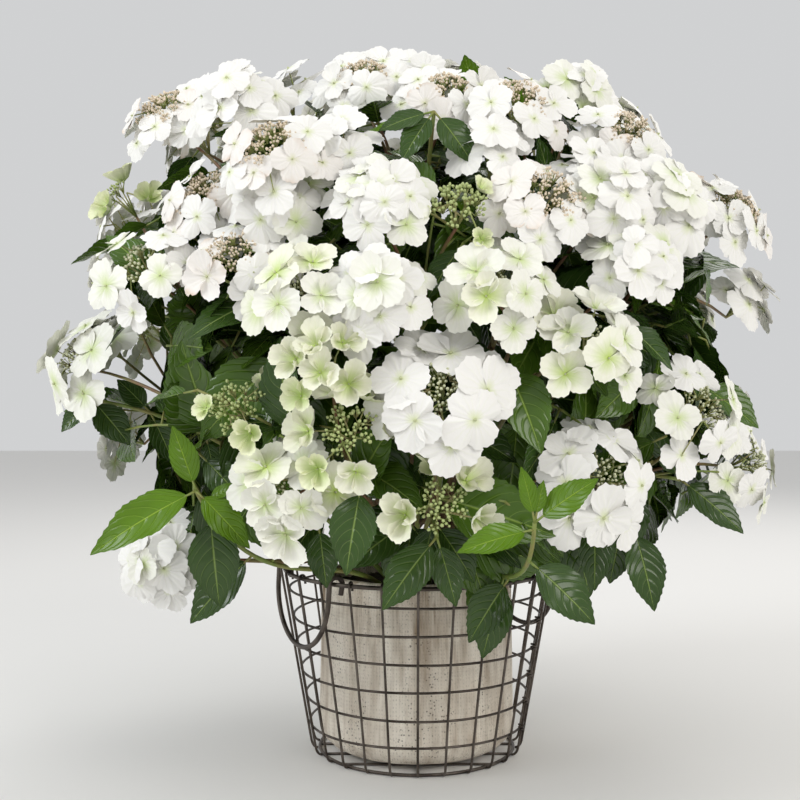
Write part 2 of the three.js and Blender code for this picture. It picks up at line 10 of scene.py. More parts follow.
import bpy
import numpy as np
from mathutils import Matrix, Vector


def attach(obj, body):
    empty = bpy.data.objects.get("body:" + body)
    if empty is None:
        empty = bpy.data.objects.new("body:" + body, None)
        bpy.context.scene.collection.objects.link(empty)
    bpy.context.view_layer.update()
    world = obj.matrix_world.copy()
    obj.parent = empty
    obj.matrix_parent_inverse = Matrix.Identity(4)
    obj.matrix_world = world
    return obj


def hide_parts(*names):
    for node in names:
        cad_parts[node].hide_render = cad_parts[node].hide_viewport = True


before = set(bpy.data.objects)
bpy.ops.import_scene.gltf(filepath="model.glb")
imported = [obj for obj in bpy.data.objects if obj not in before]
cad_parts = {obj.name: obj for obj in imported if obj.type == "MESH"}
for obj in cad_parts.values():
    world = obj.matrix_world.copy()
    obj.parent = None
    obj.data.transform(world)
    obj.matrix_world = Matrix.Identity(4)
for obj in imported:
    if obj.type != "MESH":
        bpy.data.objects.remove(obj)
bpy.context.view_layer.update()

UP = np.array([0.0, 0.0, 1.0])
GOLDEN_ANGLE = math.radians(137.508)
SEED = 4

# Camera: level, at the height of the crown's middle
CAMERA_PLACE = (-0.015, -1.035, 0.316)
CAMERA_LENS = 50.85

# Basket
RIM_RADIUS = 0.12
RIM_WIRE = 0.0037
RIM_HEIGHT = 0.1631
MESH_WIRE = 0.0022
WALL_SLOPE = 0.156
UPRIGHTS = 26
HOOPS = 6
TOP_HOOP_HEIGHT = 0.146
HOOP_SPACING = 0.024
HOOP_PRESS = 0.0005
HOOK_GAP = 0.0001
FLOOR_GAP = 0.0003
UPRIGHT_TAIL = np.array([[-0.0006, 0, -0.006]])
SWAY = 0.0005
CORNER_RADIUS = 0.010
BASE_RING_RADIUS = 0.088
BASE_RING_WIRE = 0.003
BASE_WIRES = 5
BASE_WIRE_SPACING = 0.029
BASE_WIRE = 0.0024
# The hoops' seam: where it is, and its coils' turns, with their size as shares of the mesh wire
SEAM_HEADING = 69.2
COIL_TURNS = 2.5
COIL_RADIUS = 0.95
COIL_HEIGHT = 2.6
COIL_WIRE = 0.42

HOOP_HEIGHTS = [TOP_HOOP_HEIGHT - i * HOOP_SPACING for i in range(HOOPS)]

# Bail handles
HANDLE_HEADINGS = {"handle_left": -62.3, "handle_right": 117.7}
HANDLE_HALF_ANGLE = math.radians(27.7)
HANDLE_WIRE = 0.0044
HANDLE_DROP = 0.061
HANDLE_LEG = 0.012
HANDLE_LEAN = math.radians(3)
HOOK_BORE = 0.0074
HOOK_TAIL = 0.009

# Pot and compost
POT_FOOT_HEIGHT = 0.0044
POT_HEIGHT = 0.16
POT_RADIUS = 0.0885
POT_RIM_RADIUS = 0.0865
POT_FOOT_RADIUS = 0.066
POT_WALL = 0.0095
POT_LIP = 0.003
FLUTES = 24
FLUTE_DEPTH = 0.0016
POT_RIBS = 216
SOIL_HEIGHT = 0.148
SOIL_LUMP = 0.0013

# Crown
CROWN_ROOT = np.array([0.0, 0.0, 0.165])
CROWN_CENTRE = np.array([-0.005, 0.0, 0.345])
CROWN_RADII = np.array([0.325, 0.275, 0.285])
FORK_SHARE = 0.5
NODE_SHARE = 0.68
CANE_CIRCLE = 0.026
CANE_RADII = (0.0036, 0.0023)
BOUGH_RADII = (0.0026, 0.0020)
NODE_SPACING = 0.038
STEM_RADII = (0.0020, 0.0018)
STALK_RADII = (0.0017, 0.0012)
SHOOT_RADII = (0.0015, 0.0009)

# Masses of foliage, as in the source: the push past the crown's surface, and for each flower
# head its heading, its rise and its kind
NEAR_SIDE = [
    ("top", True, 0.96, [(-20, 73, "aged"), (8, 68, "aged")]),
    ("upper_left", True, 1.03, [(-69, 60, "aged"), (-40, 60, "full"), (-25, 53, "aged")]),
    ("top_right", True, 0.99, [(23, 63, "aged"), (61, 69, "full"), (49, 59, "aged")]),
    ("right", True, 1.01, [(46, 49, "full"), (73, 48, "aged")]),
    ("left", False, 0.94, [(-43, 52, "aged"), (-32, 45, "aged"), (-27, 52, "full")]),
    ("left_arm", False, 0.97, [(-74, 51, "cups"), (-49, 42, "lace")]),
    ("far_left", False, 0.93, [(-78, 32, "lace"), (-30, 29, "bud")]),
    ("middle", False, 0.99, [(6, 49, "bud"), (-7, 50, "full")]),
    ("right_upper", False, 0.99, [(21, 50, "aged"), (33, 50, "full")]),
    ("mid_left", False, 0.99, [(-18, 40, "cream"), (-7, 40, "full")]),
    ("mid_right", False, 0.99, [(35, 43, "full"), (26, 35, "cream"), (12, 41, "cream")]),
    ("left_low", False, 0.98, [(-11, 26, "fresh"), (-21, 19, "cream"), (-14, 33, "young")]),
    ("front", False, 1.0, [(3, 17, "open"), (3, 30, "wreath")]),
    ("far_right", False, 0.97, [(48, 27, "lace"), (74, 19, "lace")]),
    ("low_right", False, 0.99, [(29, 20, "wreath")]),
    ("low_left", False, 0.97, [(-55, 6, "full")]),
]
# The far side's tiers, as in the source: places as heading and push, then rise, spread and kinds
FAR_SIDE_TIERS = [
    ("upper", True, [(115, 0.97), (180, 0.97), (-115, 0.97)], 69, 15, ["full", "aged", "aged", "full"]),
    ("mid", False, [(98, 0.88), (139, 0.97), (180, 0.97), (-139, 0.97), (-98, 0.88)], 33, 10,
     ["full", "lace", "full"]),
    ("low", False, [(152, 0.95), (-150, 0.95)], 15, 8, ["lace", "fresh"]),
]

# Shoots: two in each mass as in the source, and finer ones spread evenly over the crown
SHOOT_SPREAD = math.radians(19)
SHOOT_TURN = math.radians(240)
SHOOT_REACH = 0.95
FIRST_TWIG_SHARE = 0.6
FINE_SHOOTS = 300
FINE_REACH = (0.80, 0.93)
LOWEST_RISE = math.radians(2)
# How far a leaf may stand out past the crown's ellipsoid, at the near side and at the far side
LEAF_LIMITS = (1.02, 1.13)
FAR_SIDE_FROM = 0.10
HEAD_ROOM = 0.035
SPRAY_ROOM = 0.060
SPRAY_REACH = 0.96
SPRAY_HEIGHT = (0.30, 0.46)
SPRAY_FRONT = -0.06
# Sprays that show at the front: heading and rise
FRONT_SPRAYS = [(-17, 59), (15, 58), (35, 55)]
HEAD_LIFT = 0.15
HEAD_TO_LIGHT = np.array([0.0, -0.7, 0.0])

# Leaves hang no lower than the skirt, which rises outward from the basket
SKIRT_HEIGHT = 0.158
SKIRT_RADIUS = 0.18
SKIRT_SLOPE = 0.7
# They stay outside the rim or above it
OFF_RIM_RADIUS = 0.132
OFF_RIM_HEIGHT = 0.172
# They keep out of a handle's swing, by this room, and don't hide it from outside
SWING_ROOM = 0.012
SWING_HALF_WIDTH = 0.068
SIGHT_RADIUS = 0.085
SIGHT_OUT = 0.03
SIGHT_HEIGHT = 0.028
# They keep out of a flower head, from below its face to above it
HEAD_SPACE = (-0.020, 0.06)
# Nor does one stand before a flower head of the near side, within this, or a front shoot's leaf
IN_SIGHT = 0.12
HEAD_SIGHT = 0.7
LEAF_SIGHT = 0.021
LEAF_BEHIND = 0.006
# Sky shows here from the front: slopes of the sight line, from left to right and low to high
SKY = [(-0.241, -0.206, 0.005, 0.063), (-0.400, -0.252, -0.115, -0.034), (-0.252, -0.214, -0.088, -0.057),
       (0.305, 0.400, 0.088, 0.149), (0.281, 0.400, 0.018, 0.088)]

# Shoots that show best at the front: the route's four guides, and for each leaf its share of the
# route, its heading in degrees from the right as seen from the front, its length and whether it
# is a tender lime one
FRONT_SHOOTS = [
    # Two young ones that arch out over the rim
    {"route": [(-0.030, -0.030, 0.150), (-0.070, -0.120, 0.200), (-0.120, -0.180, 0.155),
               (-0.163, -0.215, 0.250)],
     "leaves": [(1.0, 207, 0.078, True), (1.0, 106, 0.043, True), (1.0, -42, 0.050, True),
                (0.96, 30, 0.024, True), (0.92, 277, 0.060, False), (0.72, 224, 0.062, False),
                (0.64, 62, 0.046, False)]},
    {"route": [(0.020, -0.030, 0.150), (0.056, -0.120, 0.200), (0.076, -0.240, 0.157),
               (0.075, -0.280, 0.234)],
     "leaves": [(0.98, 190, 0.048, True), (1.0, 41, 0.044, True), (1.0, 103, 0.032, True),
                (1.0, 80, 0.022, True), (0.86, -40, 0.055, False), (0.65, 235, 0.050, False),
                (0.59, 254, 0.057, False)]},
    # Four whose leaves hang over the rim
    {"route": [(0.000, -0.030, 0.150), (0.006, -0.130, 0.235), (0.010, -0.200, 0.238),
               (0.011, -0.235, 0.219)],
     "leaves": [(1.0, 229, 0.056, False), (1.0, 287, 0.043, False), (0.88, 306, 0.046, False),
                (0.84, 258, 0.045, False)]},
    {"route": [(0.000, -0.030, 0.150), (0.000, -0.090, 0.220), (0.000, -0.150, 0.236),
               (-0.008, -0.178, 0.224)],
     "leaves": [(1.0, 212, 0.052, False), (0.92, 262, 0.046, False), (0.84, 192, 0.050, False),
                (1.0, 304, 0.042, False), (0.78, 240, 0.048, False)]},
    {"route": [(-0.010, -0.030, 0.150), (-0.025, -0.120, 0.270), (-0.040, -0.205, 0.285),
               (-0.042, -0.252, 0.257)],
     "leaves": [(1.0, 260, 0.055, False), (0.80, 205, 0.046, False)]},
    {"route": [(-0.020, -0.030, 0.150), (-0.050, -0.100, 0.240), (-0.070, -0.160, 0.250),
               (-0.076, -0.190, 0.224)],
     "leaves": [(1.0, 279, 0.041, False), (0.86, 232, 0.045, False), (0.72, 318, 0.044, False)]},
    # At the middle, below the two large heads
    {"route": [(0.010, -0.030, 0.150), (0.020, -0.120, 0.280), (0.022, -0.200, 0.310),
               (0.024, -0.212, 0.292)],
     "leaves": [(1.0, -51, 0.038, False), (0.95, -25, 0.047, False), (0.92, 228, 0.036, False)]},
    {"route": [(0.010, -0.020, 0.150), (0.020, -0.100, 0.330), (0.022, -0.170, 0.390),
               (0.031, -0.214, 0.430)],
     "leaves": [(1.0, 235, 0.042, False), (1.0, 35, 0.030, False), (0.72, 205, 0.042, False),
                (0.72, -20, 0.036, False)]},
    # Below the top heads
    {"route": [(0.000, -0.030, 0.150), (0.000, -0.080, 0.300), (0.000, -0.150, 0.440),
               (0.010, -0.205, 0.528)],
     "leaves": [(1.0, 236, 0.040, False), (1.0, -52, 0.042, False), (1.0, 196, 0.036, False),
                (0.92, -8, 0.038, False)]},
    # At the right and left edges
    {"route": [(0.020, -0.030, 0.150), (0.080, -0.090, 0.220), (0.120, -0.150, 0.235),
               (0.132, -0.180, 0.228)],
     "leaves": [(1.0, 268, 0.048, False), (0.90, 306, 0.040, False), (0.84, 286, 0.062, False)]},
    {"route": [(0.020, -0.030, 0.150), (0.090, -0.070, 0.220), (0.150, -0.120, 0.235),
               (0.168, -0.150, 0.216)],
     "leaves": [(1.0, 283, 0.058, False), (0.94, 258, 0.044, False)]},
    {"route": [(0.020, -0.020, 0.150), (0.100, -0.060, 0.240), (0.170, -0.090, 0.262),
               (0.217, -0.100, 0.250)],
     "leaves": [(1.0, -38, 0.058, False), (1.0, 123, 0.046, False), (1.0, 75, 0.026, True),
                (0.80, -80, 0.060, False)]},
    {"route": [(-0.020, -0.020, 0.150), (-0.120, -0.040, 0.260), (-0.200, -0.055, 0.305),
               (-0.280, -0.062, 0.316)],
     "leaves": [(1.0, -44, 0.046, False), (1.0, 225, 0.030, False), (0.84, -62, 0.042, False),
                (0.68, -76, 0.036, False), (0.84, 132, 0.034, False)]},
]

# Leaves
LEAF_LENGTH = 0.073
LEAF_WIDTH = 0.57
TENDER_WIDTH = 0.45
LEAF_SPLAY = math.radians(62)
LEAF_DROOP = 0.35
SPLAY_VARIES = 0.16
DROOP_VARIES = (0.6, 1.4)
LEAF_SIZES = (0.78, 1.12)
LEAF_ARCHES = (0.10, 0.30)
TIP_SPLAY = 0.30
TIP_LEAF_SIZE = 0.74
# Low leaves hang more and high ones are smaller: where that begins, and over what height
HANGS_BELOW = (0.30, 0.14)
SMALLER_ABOVE = (0.40, 0.12)
LEAF_SPACE = 0.0175
PETIOLE = 0.012
STALK_PAIRS = [0.80, 0.60, 0.42, 0.26]
SHOOT_PAIRS = [0.995, 0.86, 0.68, 0.48, 0.30]

# Flower heads
HEAD_REACH = 0.046
HEAD_CROWN = 0.014
HEAD_FALL = 0.012
HUB_DEPTH = 0.026
FLORET_LEAN = 0.85
SEPAL_LENGTH = 0.0240
SEPAL_SPREAD = math.radians(60)
SEPAL_COLUMNS = 20
BUDS_IN_CLUSTER = 6
BUD_SIZE = 0.0013
EYE_SIZE = 0.0012
BUD_SINK = 0.005
CLUSTER_RADIUS = 0.0044
CLUSTER_STALK = 0.009
BRANCHES = 5
BRANCH_DEPTH = 0.014
# The rays of a head by what they carry: how thick each is, as a share of RAY_RADII
RAY_SIZES = {"branch": 1.3, "floret": 0.9, "cluster": 0.8, "bud": 0.5}
RAY_RADII = (0.0008, 0.0005)
# Florets lean out from the crown, and on the near side toward the light at the front as well
FLORET_TURN = 0.5
TO_LIGHT = np.array([0.0, -0.10, 0.0])
# Masses at the crown's edge whose florets are larger
LARGE_FLORETS = {"far_left": 1.32, "right": 1.18}
# No leaf comes nearer to a head's axis than this
LEAF_FREE = {"cups": 0.032, "wreath": 0.048, "full": 0.037, "aged": 0.038, "lace": 0.042, "cream": 0.036,
             "young": 0.032, "fresh": 0.034, "open": 0.034, "bud": 0.024, "spray": 0.030}


# Vectors


def unit(vectors):
    """Vectors of any stack, each divided by its length."""
    return vectors / np.linalg.norm(vectors, axis=-1, keepdims=True)


def dot(first, second):
    """Scalar products, kept as a last axis of one."""
    return np.sum(first * second, axis=-1, keepdims=True)


def spatial(x, y, z):
    """Points from their coordinates, any of which may be one number for all."""
    return np.stack(np.broadcast_arrays(x, y, z), -1)


def full_turn(count):
    """Even steps of angle round a circle."""
    return np.linspace(0, 2 * math.pi, count, endpoint=False)


def between(first, second, turn):
    """Directions turned from the first toward the second, which is square to it."""
    return first * np.cos(turn) + second * np.sin(turn)


def bent(start, guide, end, t):
    """Points of a quadratic curve."""
    return (1 - t) ** 2 * start + 2 * t * (1 - t) * guide + t * t * end


def perpendicular(directions):
    """A level vector square to each direction, or +X for a direction that stands upright."""
    level = np.cross(directions, UP)
    leans = np.linalg.norm(level, axis=-1, keepdims=True) > 0.01
    return unit(np.where(leans, level, np.array([1.0, 0.0, 0.0])))


def heading_vector(heading, rise):
    """The direction at a heading from the front, to the right, and a rise above level."""
    return spatial(np.sin(heading) * np.cos(rise), -np.cos(heading) * np.cos(rise), np.sin(rise))


def leaned(directions, spread, turn):
    """Directions that lean by `spread` off the given ones, toward `turn` from level."""
    level = perpendicular(directions)
    upward = np.cross(level, directions)
    return between(directions, between(level, upward, turn), spread)


def crown_reach(directions):
    """How far the crown's ellipsoid lies from its root along each direction (a quadratic's root)."""
    start = (CROWN_ROOT - CROWN_CENTRE) / CROWN_RADII
    step = directions / CROWN_RADII
    a = dot(step, step)
    b = 2 * dot(start, step)
    c = np.dot(start, start) - 1
    return (-b + np.sqrt(b * b - 4 * a * c)) / (2 * a)


def along_crown(directions, share):
    """Points at a share of the crown's reach."""
    return CROWN_ROOT + directions * crown_reach(directions) * share


def bezier(guides, share):
    """Points of a cubic curve: its four guides weighted by the Bernstein polynomials."""
    t = np.asarray(share, float).reshape(-1, 1)
    a, b, c, d = (np.asarray(guide, float) for guide in guides)
    return (1 - t) ** 3 * a + 3 * t * (1 - t) ** 2 * b + 3 * t * t * (1 - t) * c + t ** 3 * d


def evenly(guides, shares):
    """Points of the cubic curve at shares of its length, read off 200 short steps."""
    fine = np.linspace(0, 1, 201)
    steps = np.linalg.norm(np.diff(bezier(guides, fine), axis=0), axis=1)
    length = np.concatenate([[0], np.cumsum(steps)])
    return bezier(guides, np.interp(np.asarray(shares) * length[-1], length, fine))


def tangents(paths):
    """Directions along paths (..., points, 3), by differences of neighbouring points."""
    return unit(np.gradient(paths, axis=-2))


# Surfaces


def grid_corners(rows, columns, closed, ring):
    """Corner numbers and map coordinates of the quads of one grid. The columns of a closed one
    join round, and in a ring the last row joins the first as well."""
    row, column = np.meshgrid(np.arange(rows if ring else rows - 1),
                              np.arange(columns if closed else columns - 1), indexing="ij")
    corners = [(row, column), (row + 1, column), (row + 1, column + 1), (row, column + 1)]
    if closed:
        corners.reverse()
    across = columns if closed else columns - 1
    numbers = np.stack([a % rows * columns + b % columns for a, b in corners], -1)
    places = np.stack([np.stack([a / (rows - 1), b / across], -1) for a, b in corners], -2)
    return numbers.reshape(-1, 4), places.reshape(-1, 4, 2)


def add_object(name, data, place=(0, 0, 0)):
    """Puts a mesh, light or camera into the scene."""
    made = bpy.data.objects.new(name, data)
    made.location = place
    bpy.context.scene.collection.objects.link(made)
    return made


class Surface:
    """One piece, gathered from stacks of grids of points; each stack has one finish."""

    def __init__(self, name):
        self.name = name
        self.points = []
        self.faces = []
        self.places = []
        self.finishes = []
        self.finish_of_face = []
        self.count = 0

    def _add_faces(self, numbers, places, finish):
        if finish not in self.finishes:
            self.finishes.append(finish)
        self.faces.append(numbers)
        self.places.append(places)
        self.finish_of_face.append(np.full(len(numbers), self.finishes.index(finish)))

    def sheets(self, grids, finish, closed=False, ring=False):
        """Adds a stack of grids (count, rows, columns, 3)."""
        count, rows, columns, _ = grids.shape
        numbers, places = grid_corners(rows, columns, closed, ring)
        first = self.count + rows * columns * np.arange(count).reshape(-1, 1, 1)
        self._add_faces((numbers + first).reshape(-1, 4), np.tile(places, (count, 1, 1)), finish)
        self.points.append(grids.reshape(-1, 3))
        self.count += count * rows * columns

    def lids(self, shape, finish, ends=(0, -1)):
        """Closes the first and last rows of the grids just added, each with one flat face."""
        count, rows, columns = shape
        first = self.count - rows * columns * np.arange(count, 0, -1).reshape(-1, 1)
        around = np.arange(columns)
        for end in ends:
            ring = around[::-1] if end == 0 else (rows - 1) * columns + around
            self._add_faces(first + ring, np.zeros((count, columns, 2)), finish)

    def tubes(self, paths, radii, sides, finish, relief=None):
        """Adds round tubes along paths (count, steps, 3): each ring lies square to its path, at
        the radius given for it, and both ends are closed by a flat face."""
        paths = np.asarray(paths, float)
        count, steps, _ = paths.shape
        radii = np.broadcast_to(radii, (count, steps))
        along = tangents(paths)
        right = perpendicular(along[:, 0])
        rings = []
        angle = full_turn(sides).reshape(1, -1, 1)
        for step in range(steps):
            t = along[:, step]
            right = unit(right - t * dot(right, t))
            front = np.cross(t, right)
            wide = radii[:, step].reshape(-1, 1, 1) * np.ones((1, sides, 1))
            if relief is not None:
                wide = wide * (1 + relief[:, step].reshape(count, sides, 1))
            rings.append(paths[:, step, None] + wide * between(right[:, None], front[:, None], angle))
        self.sheets(np.stack(rings, 1), finish, closed=True)
        self.lids((count, steps, sides), finish)

    def build(self, body, nodes=()):
        """Makes the mesh object, which rides on a body and stands for the given nodes."""
        loops = np.concatenate([face.ravel() for face in self.faces])
        sizes = np.concatenate([np.full(len(face), face.shape[1]) for face in self.faces])
        mesh = bpy.data.meshes.new(self.name)
        mesh.vertices.add(self.count)
        mesh.vertices.foreach_set("co", np.concatenate(self.points).ravel())
        mesh.loops.add(len(loops))
        mesh.loops.foreach_set("vertex_index", loops)
        mesh.polygons.add(len(sizes))
        mesh.polygons.foreach_set("loop_start", np.cumsum(sizes) - sizes)
        mesh.polygons.foreach_set("loop_total", sizes)
        mesh.polygons.foreach_set("material_index", np.concatenate(self.finish_of_face))
        mesh.polygons.foreach_set("use_smooth", np.ones(len(sizes), bool))
        places = np.concatenate([place.reshape(-1, 2) for place in self.places])
        mesh.uv_layers.new(name="UVMap").data.foreach_set("uv", places.ravel())
        for finish in self.finishes:
            mesh.materials.append(finish)
        mesh.update(calc_edges=True)
        mesh.validate()
        piece = add_object(self.name, mesh)
        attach(piece, body)
        if nodes:
            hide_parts(*nodes)


# Finishes


class Value:
    """A shader socket; an expression on it adds Math nodes to its material."""

    def __init__(self, finish, socket):
        self.finish = finish
        self.socket = socket

    def math(self, operation, *others):
        return self.finish.node("Math", {"operation": operation}, dict(enumerate((self, *others))))

    def __add__(self, other):
        return self.math("ADD", other)

    def __sub__(self, other):
        return self.math("SUBTRACT", other)

    def __mul__(self, other):
        return self.math("MULTIPLY", other)

    def __pow__(self, other):
        return self.math("POWER", other)

    def __abs__(self):
        return self.math("ABSOLUTE")

    __radd__ = __add__
    __rmul__ = __mul__

    def within(self, low, high):
        """0 below `low`, 1 above `high` and an even slope between; it falls where low > high."""
        return self.finish.node("MapRange", {"clamp": True}, {
            "Value": self, "From Min": min(low, high), "From Max": max(low, high),
            "To Min": float(low > high), "To Max": float(low < high)})


class Finish:
    """A material as it is made; `node` adds any node and gives back one of its outputs."""

    def __init__(self, name):
        self.material = bpy.data.materials.new(name)
        self.material.use_nodes = True
        self.tree = self.material.node_tree
        self.tree.nodes.clear()

    def node(self, kind, settings=None, inputs=None, output=0):
        made = self.tree.nodes.new("ShaderNode" + kind)
        for key, value in (settings or {}).items():
            setattr(made, key, value)
        for key, value in (inputs or {}).items():
            if isinstance(value, Value):
                self.tree.links.new(value.socket, made.inputs[key])
            else:
                made.inputs[key].default_value = value
        return Value(self, made.outputs[output]) if len(made.outputs) else None

    def object_place(self, scale=(1, 1, 1)):
        place = self.node("TexCoord", output="Object")
        return self.node("Mapping", inputs={"Vector": place, "Scale": scale})

    def map_place(self):
        """The piece's own map: along and across, each from 0 to 1."""
        place = self.node("UVMap", {"uv_map": "UVMap"})
        return (self.node("SeparateXYZ", inputs={"Vector": place}, output="X"),
                self.node("SeparateXYZ", inputs={"Vector": place}, output="Y"))

    def noise(self, place, scale, detail=3.0, rough=0.55):
        return self.node("TexNoise", inputs={
            "Vector": place, "Scale": scale, "Detail": detail, "Roughness": rough})

    def mix(self, share, first, second):
        return self.node("Mix", {"data_type": "RGBA"}, {0: share, 6: first, 7: second}, output=2)

    def bump(self, height, strength, distance):
        return self.node("Bump", inputs={"Height": height, "Strength": strength, "Distance": distance})

    def surface(self, inputs):
        """Ends the material with one Principled shader."""
        shader = self.node("BsdfPrincipled", inputs=inputs)
        self.node("OutputMaterial", inputs={"Surface": shader})
        return self.material


def rgb(red, green, blue):
    return (red, green, blue, 1.0)


def wire_finish():
    finish = Finish("basket_wire")
    place = finish.object_place()
    patches = finish.noise(place, 55.0).within(0.38, 0.68)
    grit = finish.noise(place, 900.0)
    return finish.surface({
        "Base Color": finish.mix(patches, rgb(0.060, 0.048, 0.040), rgb(0.165, 0.140, 0.120)),
        "Metallic": 0.75,
        "Roughness": 0.34 + patches * 0.22,
        "Normal": finish.bump(grit, 0.35, 0.0004)})


def pot_finish():
    """Pale fibre cement: brown streaks that run down, a weave of rows and ribs, and dark pits."""
    finish = Finish("fibre_cement")
    upright = finish.object_place((1, 1, 0.10))
    place = finish.object_place()
    height = finish.node("SeparateXYZ", inputs={"Vector": place}, output="Z")
    _, turn = finish.map_place()
    streaks = finish.noise(upright, 75.0, 4.0, 0.65).within(0.46, 0.70)
    wide_streaks = finish.noise(upright, 26.0, 3.0, 0.6).within(0.44, 0.68)
    stains = finish.noise(place, 14.0, 4.0, 0.6).within(0.45, 0.75)
    wander = finish.noise(place, 160.0) * 5.0
    rows = (height * (2 * math.pi / 0.0032) + wander).math("SINE")
    ribs = (turn * (2 * math.pi * POT_RIBS) + wander * 0.6).math("SINE")
    grains = finish.noise(finish.object_place((1, 1, 0.8)), 620.0, 2.0)
    pits = finish.node("TexVoronoi", inputs={"Vector": place, "Scale": 330.0, "Randomness": 1.0})
    where = finish.noise(finish.object_place((1, 1, 0.35)), 42.0, 3.0).within(0.44, 0.60)
    specks = pits.within(0.28, 0.13) * where
    brim = height.within(0.06, 0.15)
    worn = (streaks * 0.50 + (streaks + wide_streaks) * brim * 0.30 + wide_streaks * 0.34 + stains * 0.26)
    worn = worn.math("MINIMUM", 1.0)
    tone = finish.mix(worn, rgb(0.94, 0.87, 0.755), rgb(0.33, 0.235, 0.15))
    weave = (rows * 0.4 + ribs * 0.6).within(0.1, 0.8)
    woven = finish.mix(weave * grains.within(0.42, 0.62) * 0.40, tone, rgb(0.34, 0.29, 0.23))
    relief = rows * 0.15 + ribs * 0.3 + grains * 0.8 - specks * 1.5
    return finish.surface({
        "Base Color": finish.mix(specks * 0.85, woven, rgb(0.10, 0.075, 0.055)),
        "Roughness": 0.88,
        "Normal": finish.bump(relief, 0.5, 0.0009)})


def compost_finish():
    finish = Finish("compost")
    place = finish.object_place()
    crumbs = finish.noise(place, 260.0, 5.0, 0.7)
    return finish.surface({
        "Base Color": finish.mix(
            crumbs.within(0.4, 0.7), rgb(0.022, 0.015, 0.010), rgb(0.085, 0.056, 0.034)),
        "Roughness": 0.95,
        "Normal": finish.bump(crumbs, 1.0, 0.003)})


def bark_finish():
    """Reddish brown bark, with fissures drawn out along the limb."""
    finish = Finish("bark")
    place = finish.object_place((1, 1, 0.18))
    fissures = finish.noise(place, 620.0, 4.0, 0.65)
    patches = finish.noise(finish.object_place(), 45.0).within(0.4, 0.65)
    tone = finish.mix(patches, rgb(0.16, 0.075, 0.035), rgb(0.26, 0.19, 0.075))
    return finish.surface({
        "Base Color": finish.mix(fissures.within(0.58, 0.40) * 0.7, tone, rgb(0.05, 0.026, 0.014)),
        "Roughness": 0.75,
        "Normal": finish.bump(fissures, 0.8, 0.0012)})


def stem_finish(name, young, old):
    finish = Finish(name)
    patches = finish.noise(finish.object_place(), 70.0).within(0.42, 0.62)
    return finish.surface({
        "Base Color": finish.mix(patches, young, old),
        "Roughness": 0.5,
        })


def leaf_finish(name, blade, vein, gloss):
    """A blade with a pale midrib; side veins run forward to the edge, and the blade puckers
    between them."""
    finish = Finish(name)
    along, across = finish.map_place()
    off_middle = abs(across * 2.0 - 1.0)
    phase = (along - off_middle * 0.12 - off_middle * off_middle * 0.26) * 7.0
    saw = abs(phase.math("FRACT") - 0.5)
    side_veins = saw.within(0.455, 0.5) * off_middle.within(1.0, 0.6)
    midrib = off_middle.within(0.060, 0.015)
    veins = midrib.math("MAXIMUM", side_veins * 0.55)
    mottle = finish.noise(finish.object_place(), 30.0).within(0.35, 0.7)
    tone = finish.mix(mottle * 0.6, blade, tuple(0.62 * part for part in blade[:3]) + (1.0,))
    relief = saw.within(0.5, 0.30) * 0.5 - midrib * 0.8
    return finish.surface({
        "Base Color": finish.mix(veins * 0.75, tone, vein),
        "Roughness": gloss,
        "Specular IOR Level": 0.40,
        "Normal": finish.bump(relief, 0.62, 0.0013)})


def sepal_finish(name, eye, blade, edge_start, withered=0.0):
    """A sepal with a green eye that fades outward, and faint veins that fan to its edge. An old
    one has beige patches near its edge."""
    finish = Finish(name)
    along, across = finish.map_place()
    fan = (across * 40.0 + finish.noise(finish.object_place(), 160.0) * 5.0).math("SINE")
    veins = fan.within(0.55, 1.0)
    tone = finish.mix(along.within(0.0, edge_start) ** 0.8, eye, blade)
    if withered:
        patches = finish.noise(finish.object_place(), 42.0, 3.0).within(0.52, 0.66)
        tone = finish.mix(patches * along.within(0.45, 1.0) * withered, tone, rgb(0.66, 0.47, 0.31))
    return finish.surface({
        "Base Color": finish.mix(veins * along.within(1.0, 0.2) * 0.14, tone, eye),
        "Roughness": 0.62,
        "Specular IOR Level": 0.3,
        "Normal": finish.bump(fan, 0.18, 0.0006)})


def plain_finish(name, colour, roughness):
    finish = Finish(name)
    tone = finish.noise(finish.object_place(), 300.0).within(0.35, 0.7)
    darker = tuple(0.72 * part for part in colour[:3]) + (1.0,)
    return finish.surface({"Base Color": finish.mix(tone, colour, darker), "Roughness": roughness})


WIRE = wire_finish()
POT = pot_finish()
COMPOST = compost_finish()
BARK = bark_finish()
GREEN_STEM = stem_finish("green_stem", rgb(0.20, 0.27, 0.055), rgb(0.26, 0.24, 0.07))
RAY = stem_finish("ray", rgb(0.34, 0.40, 0.13), rgb(0.38, 0.33, 0.15))
RED_STEM = stem_finish("red_stem", rgb(0.20, 0.095, 0.045), rgb(0.19, 0.17, 0.055))
LEAF_DARK = leaf_finish("leaf_dark", rgb(0.038, 0.082, 0.013), rgb(0.24, 0.34, 0.08), 0.20)
LEAF_GREEN = leaf_finish("leaf_green", rgb(0.074, 0.150, 0.014), rgb(0.29, 0.42, 0.08), 0.22)
LEAF_LIME = leaf_finish("leaf_lime", rgb(0.098, 0.205, 0.002), rgb(0.29, 0.45, 0.04), 0.30)
SEPAL_WHITE = sepal_finish("sepal_white", rgb(0.72, 0.78, 0.46), rgb(0.895, 0.882, 0.85), 0.27)
SEPAL_OLD = sepal_finish("sepal_old", rgb(0.72, 0.72, 0.50), rgb(0.89, 0.855, 0.815), 0.25, 0.75)
SEPAL_CREAM = sepal_finish("sepal_cream", rgb(0.58, 0.70, 0.28), rgb(0.885, 0.88, 0.80), 0.50)
SEPAL_FRESH = sepal_finish("sepal_fresh", rgb(0.50, 0.66, 0.12), rgb(0.89, 0.89, 0.75), 0.60)
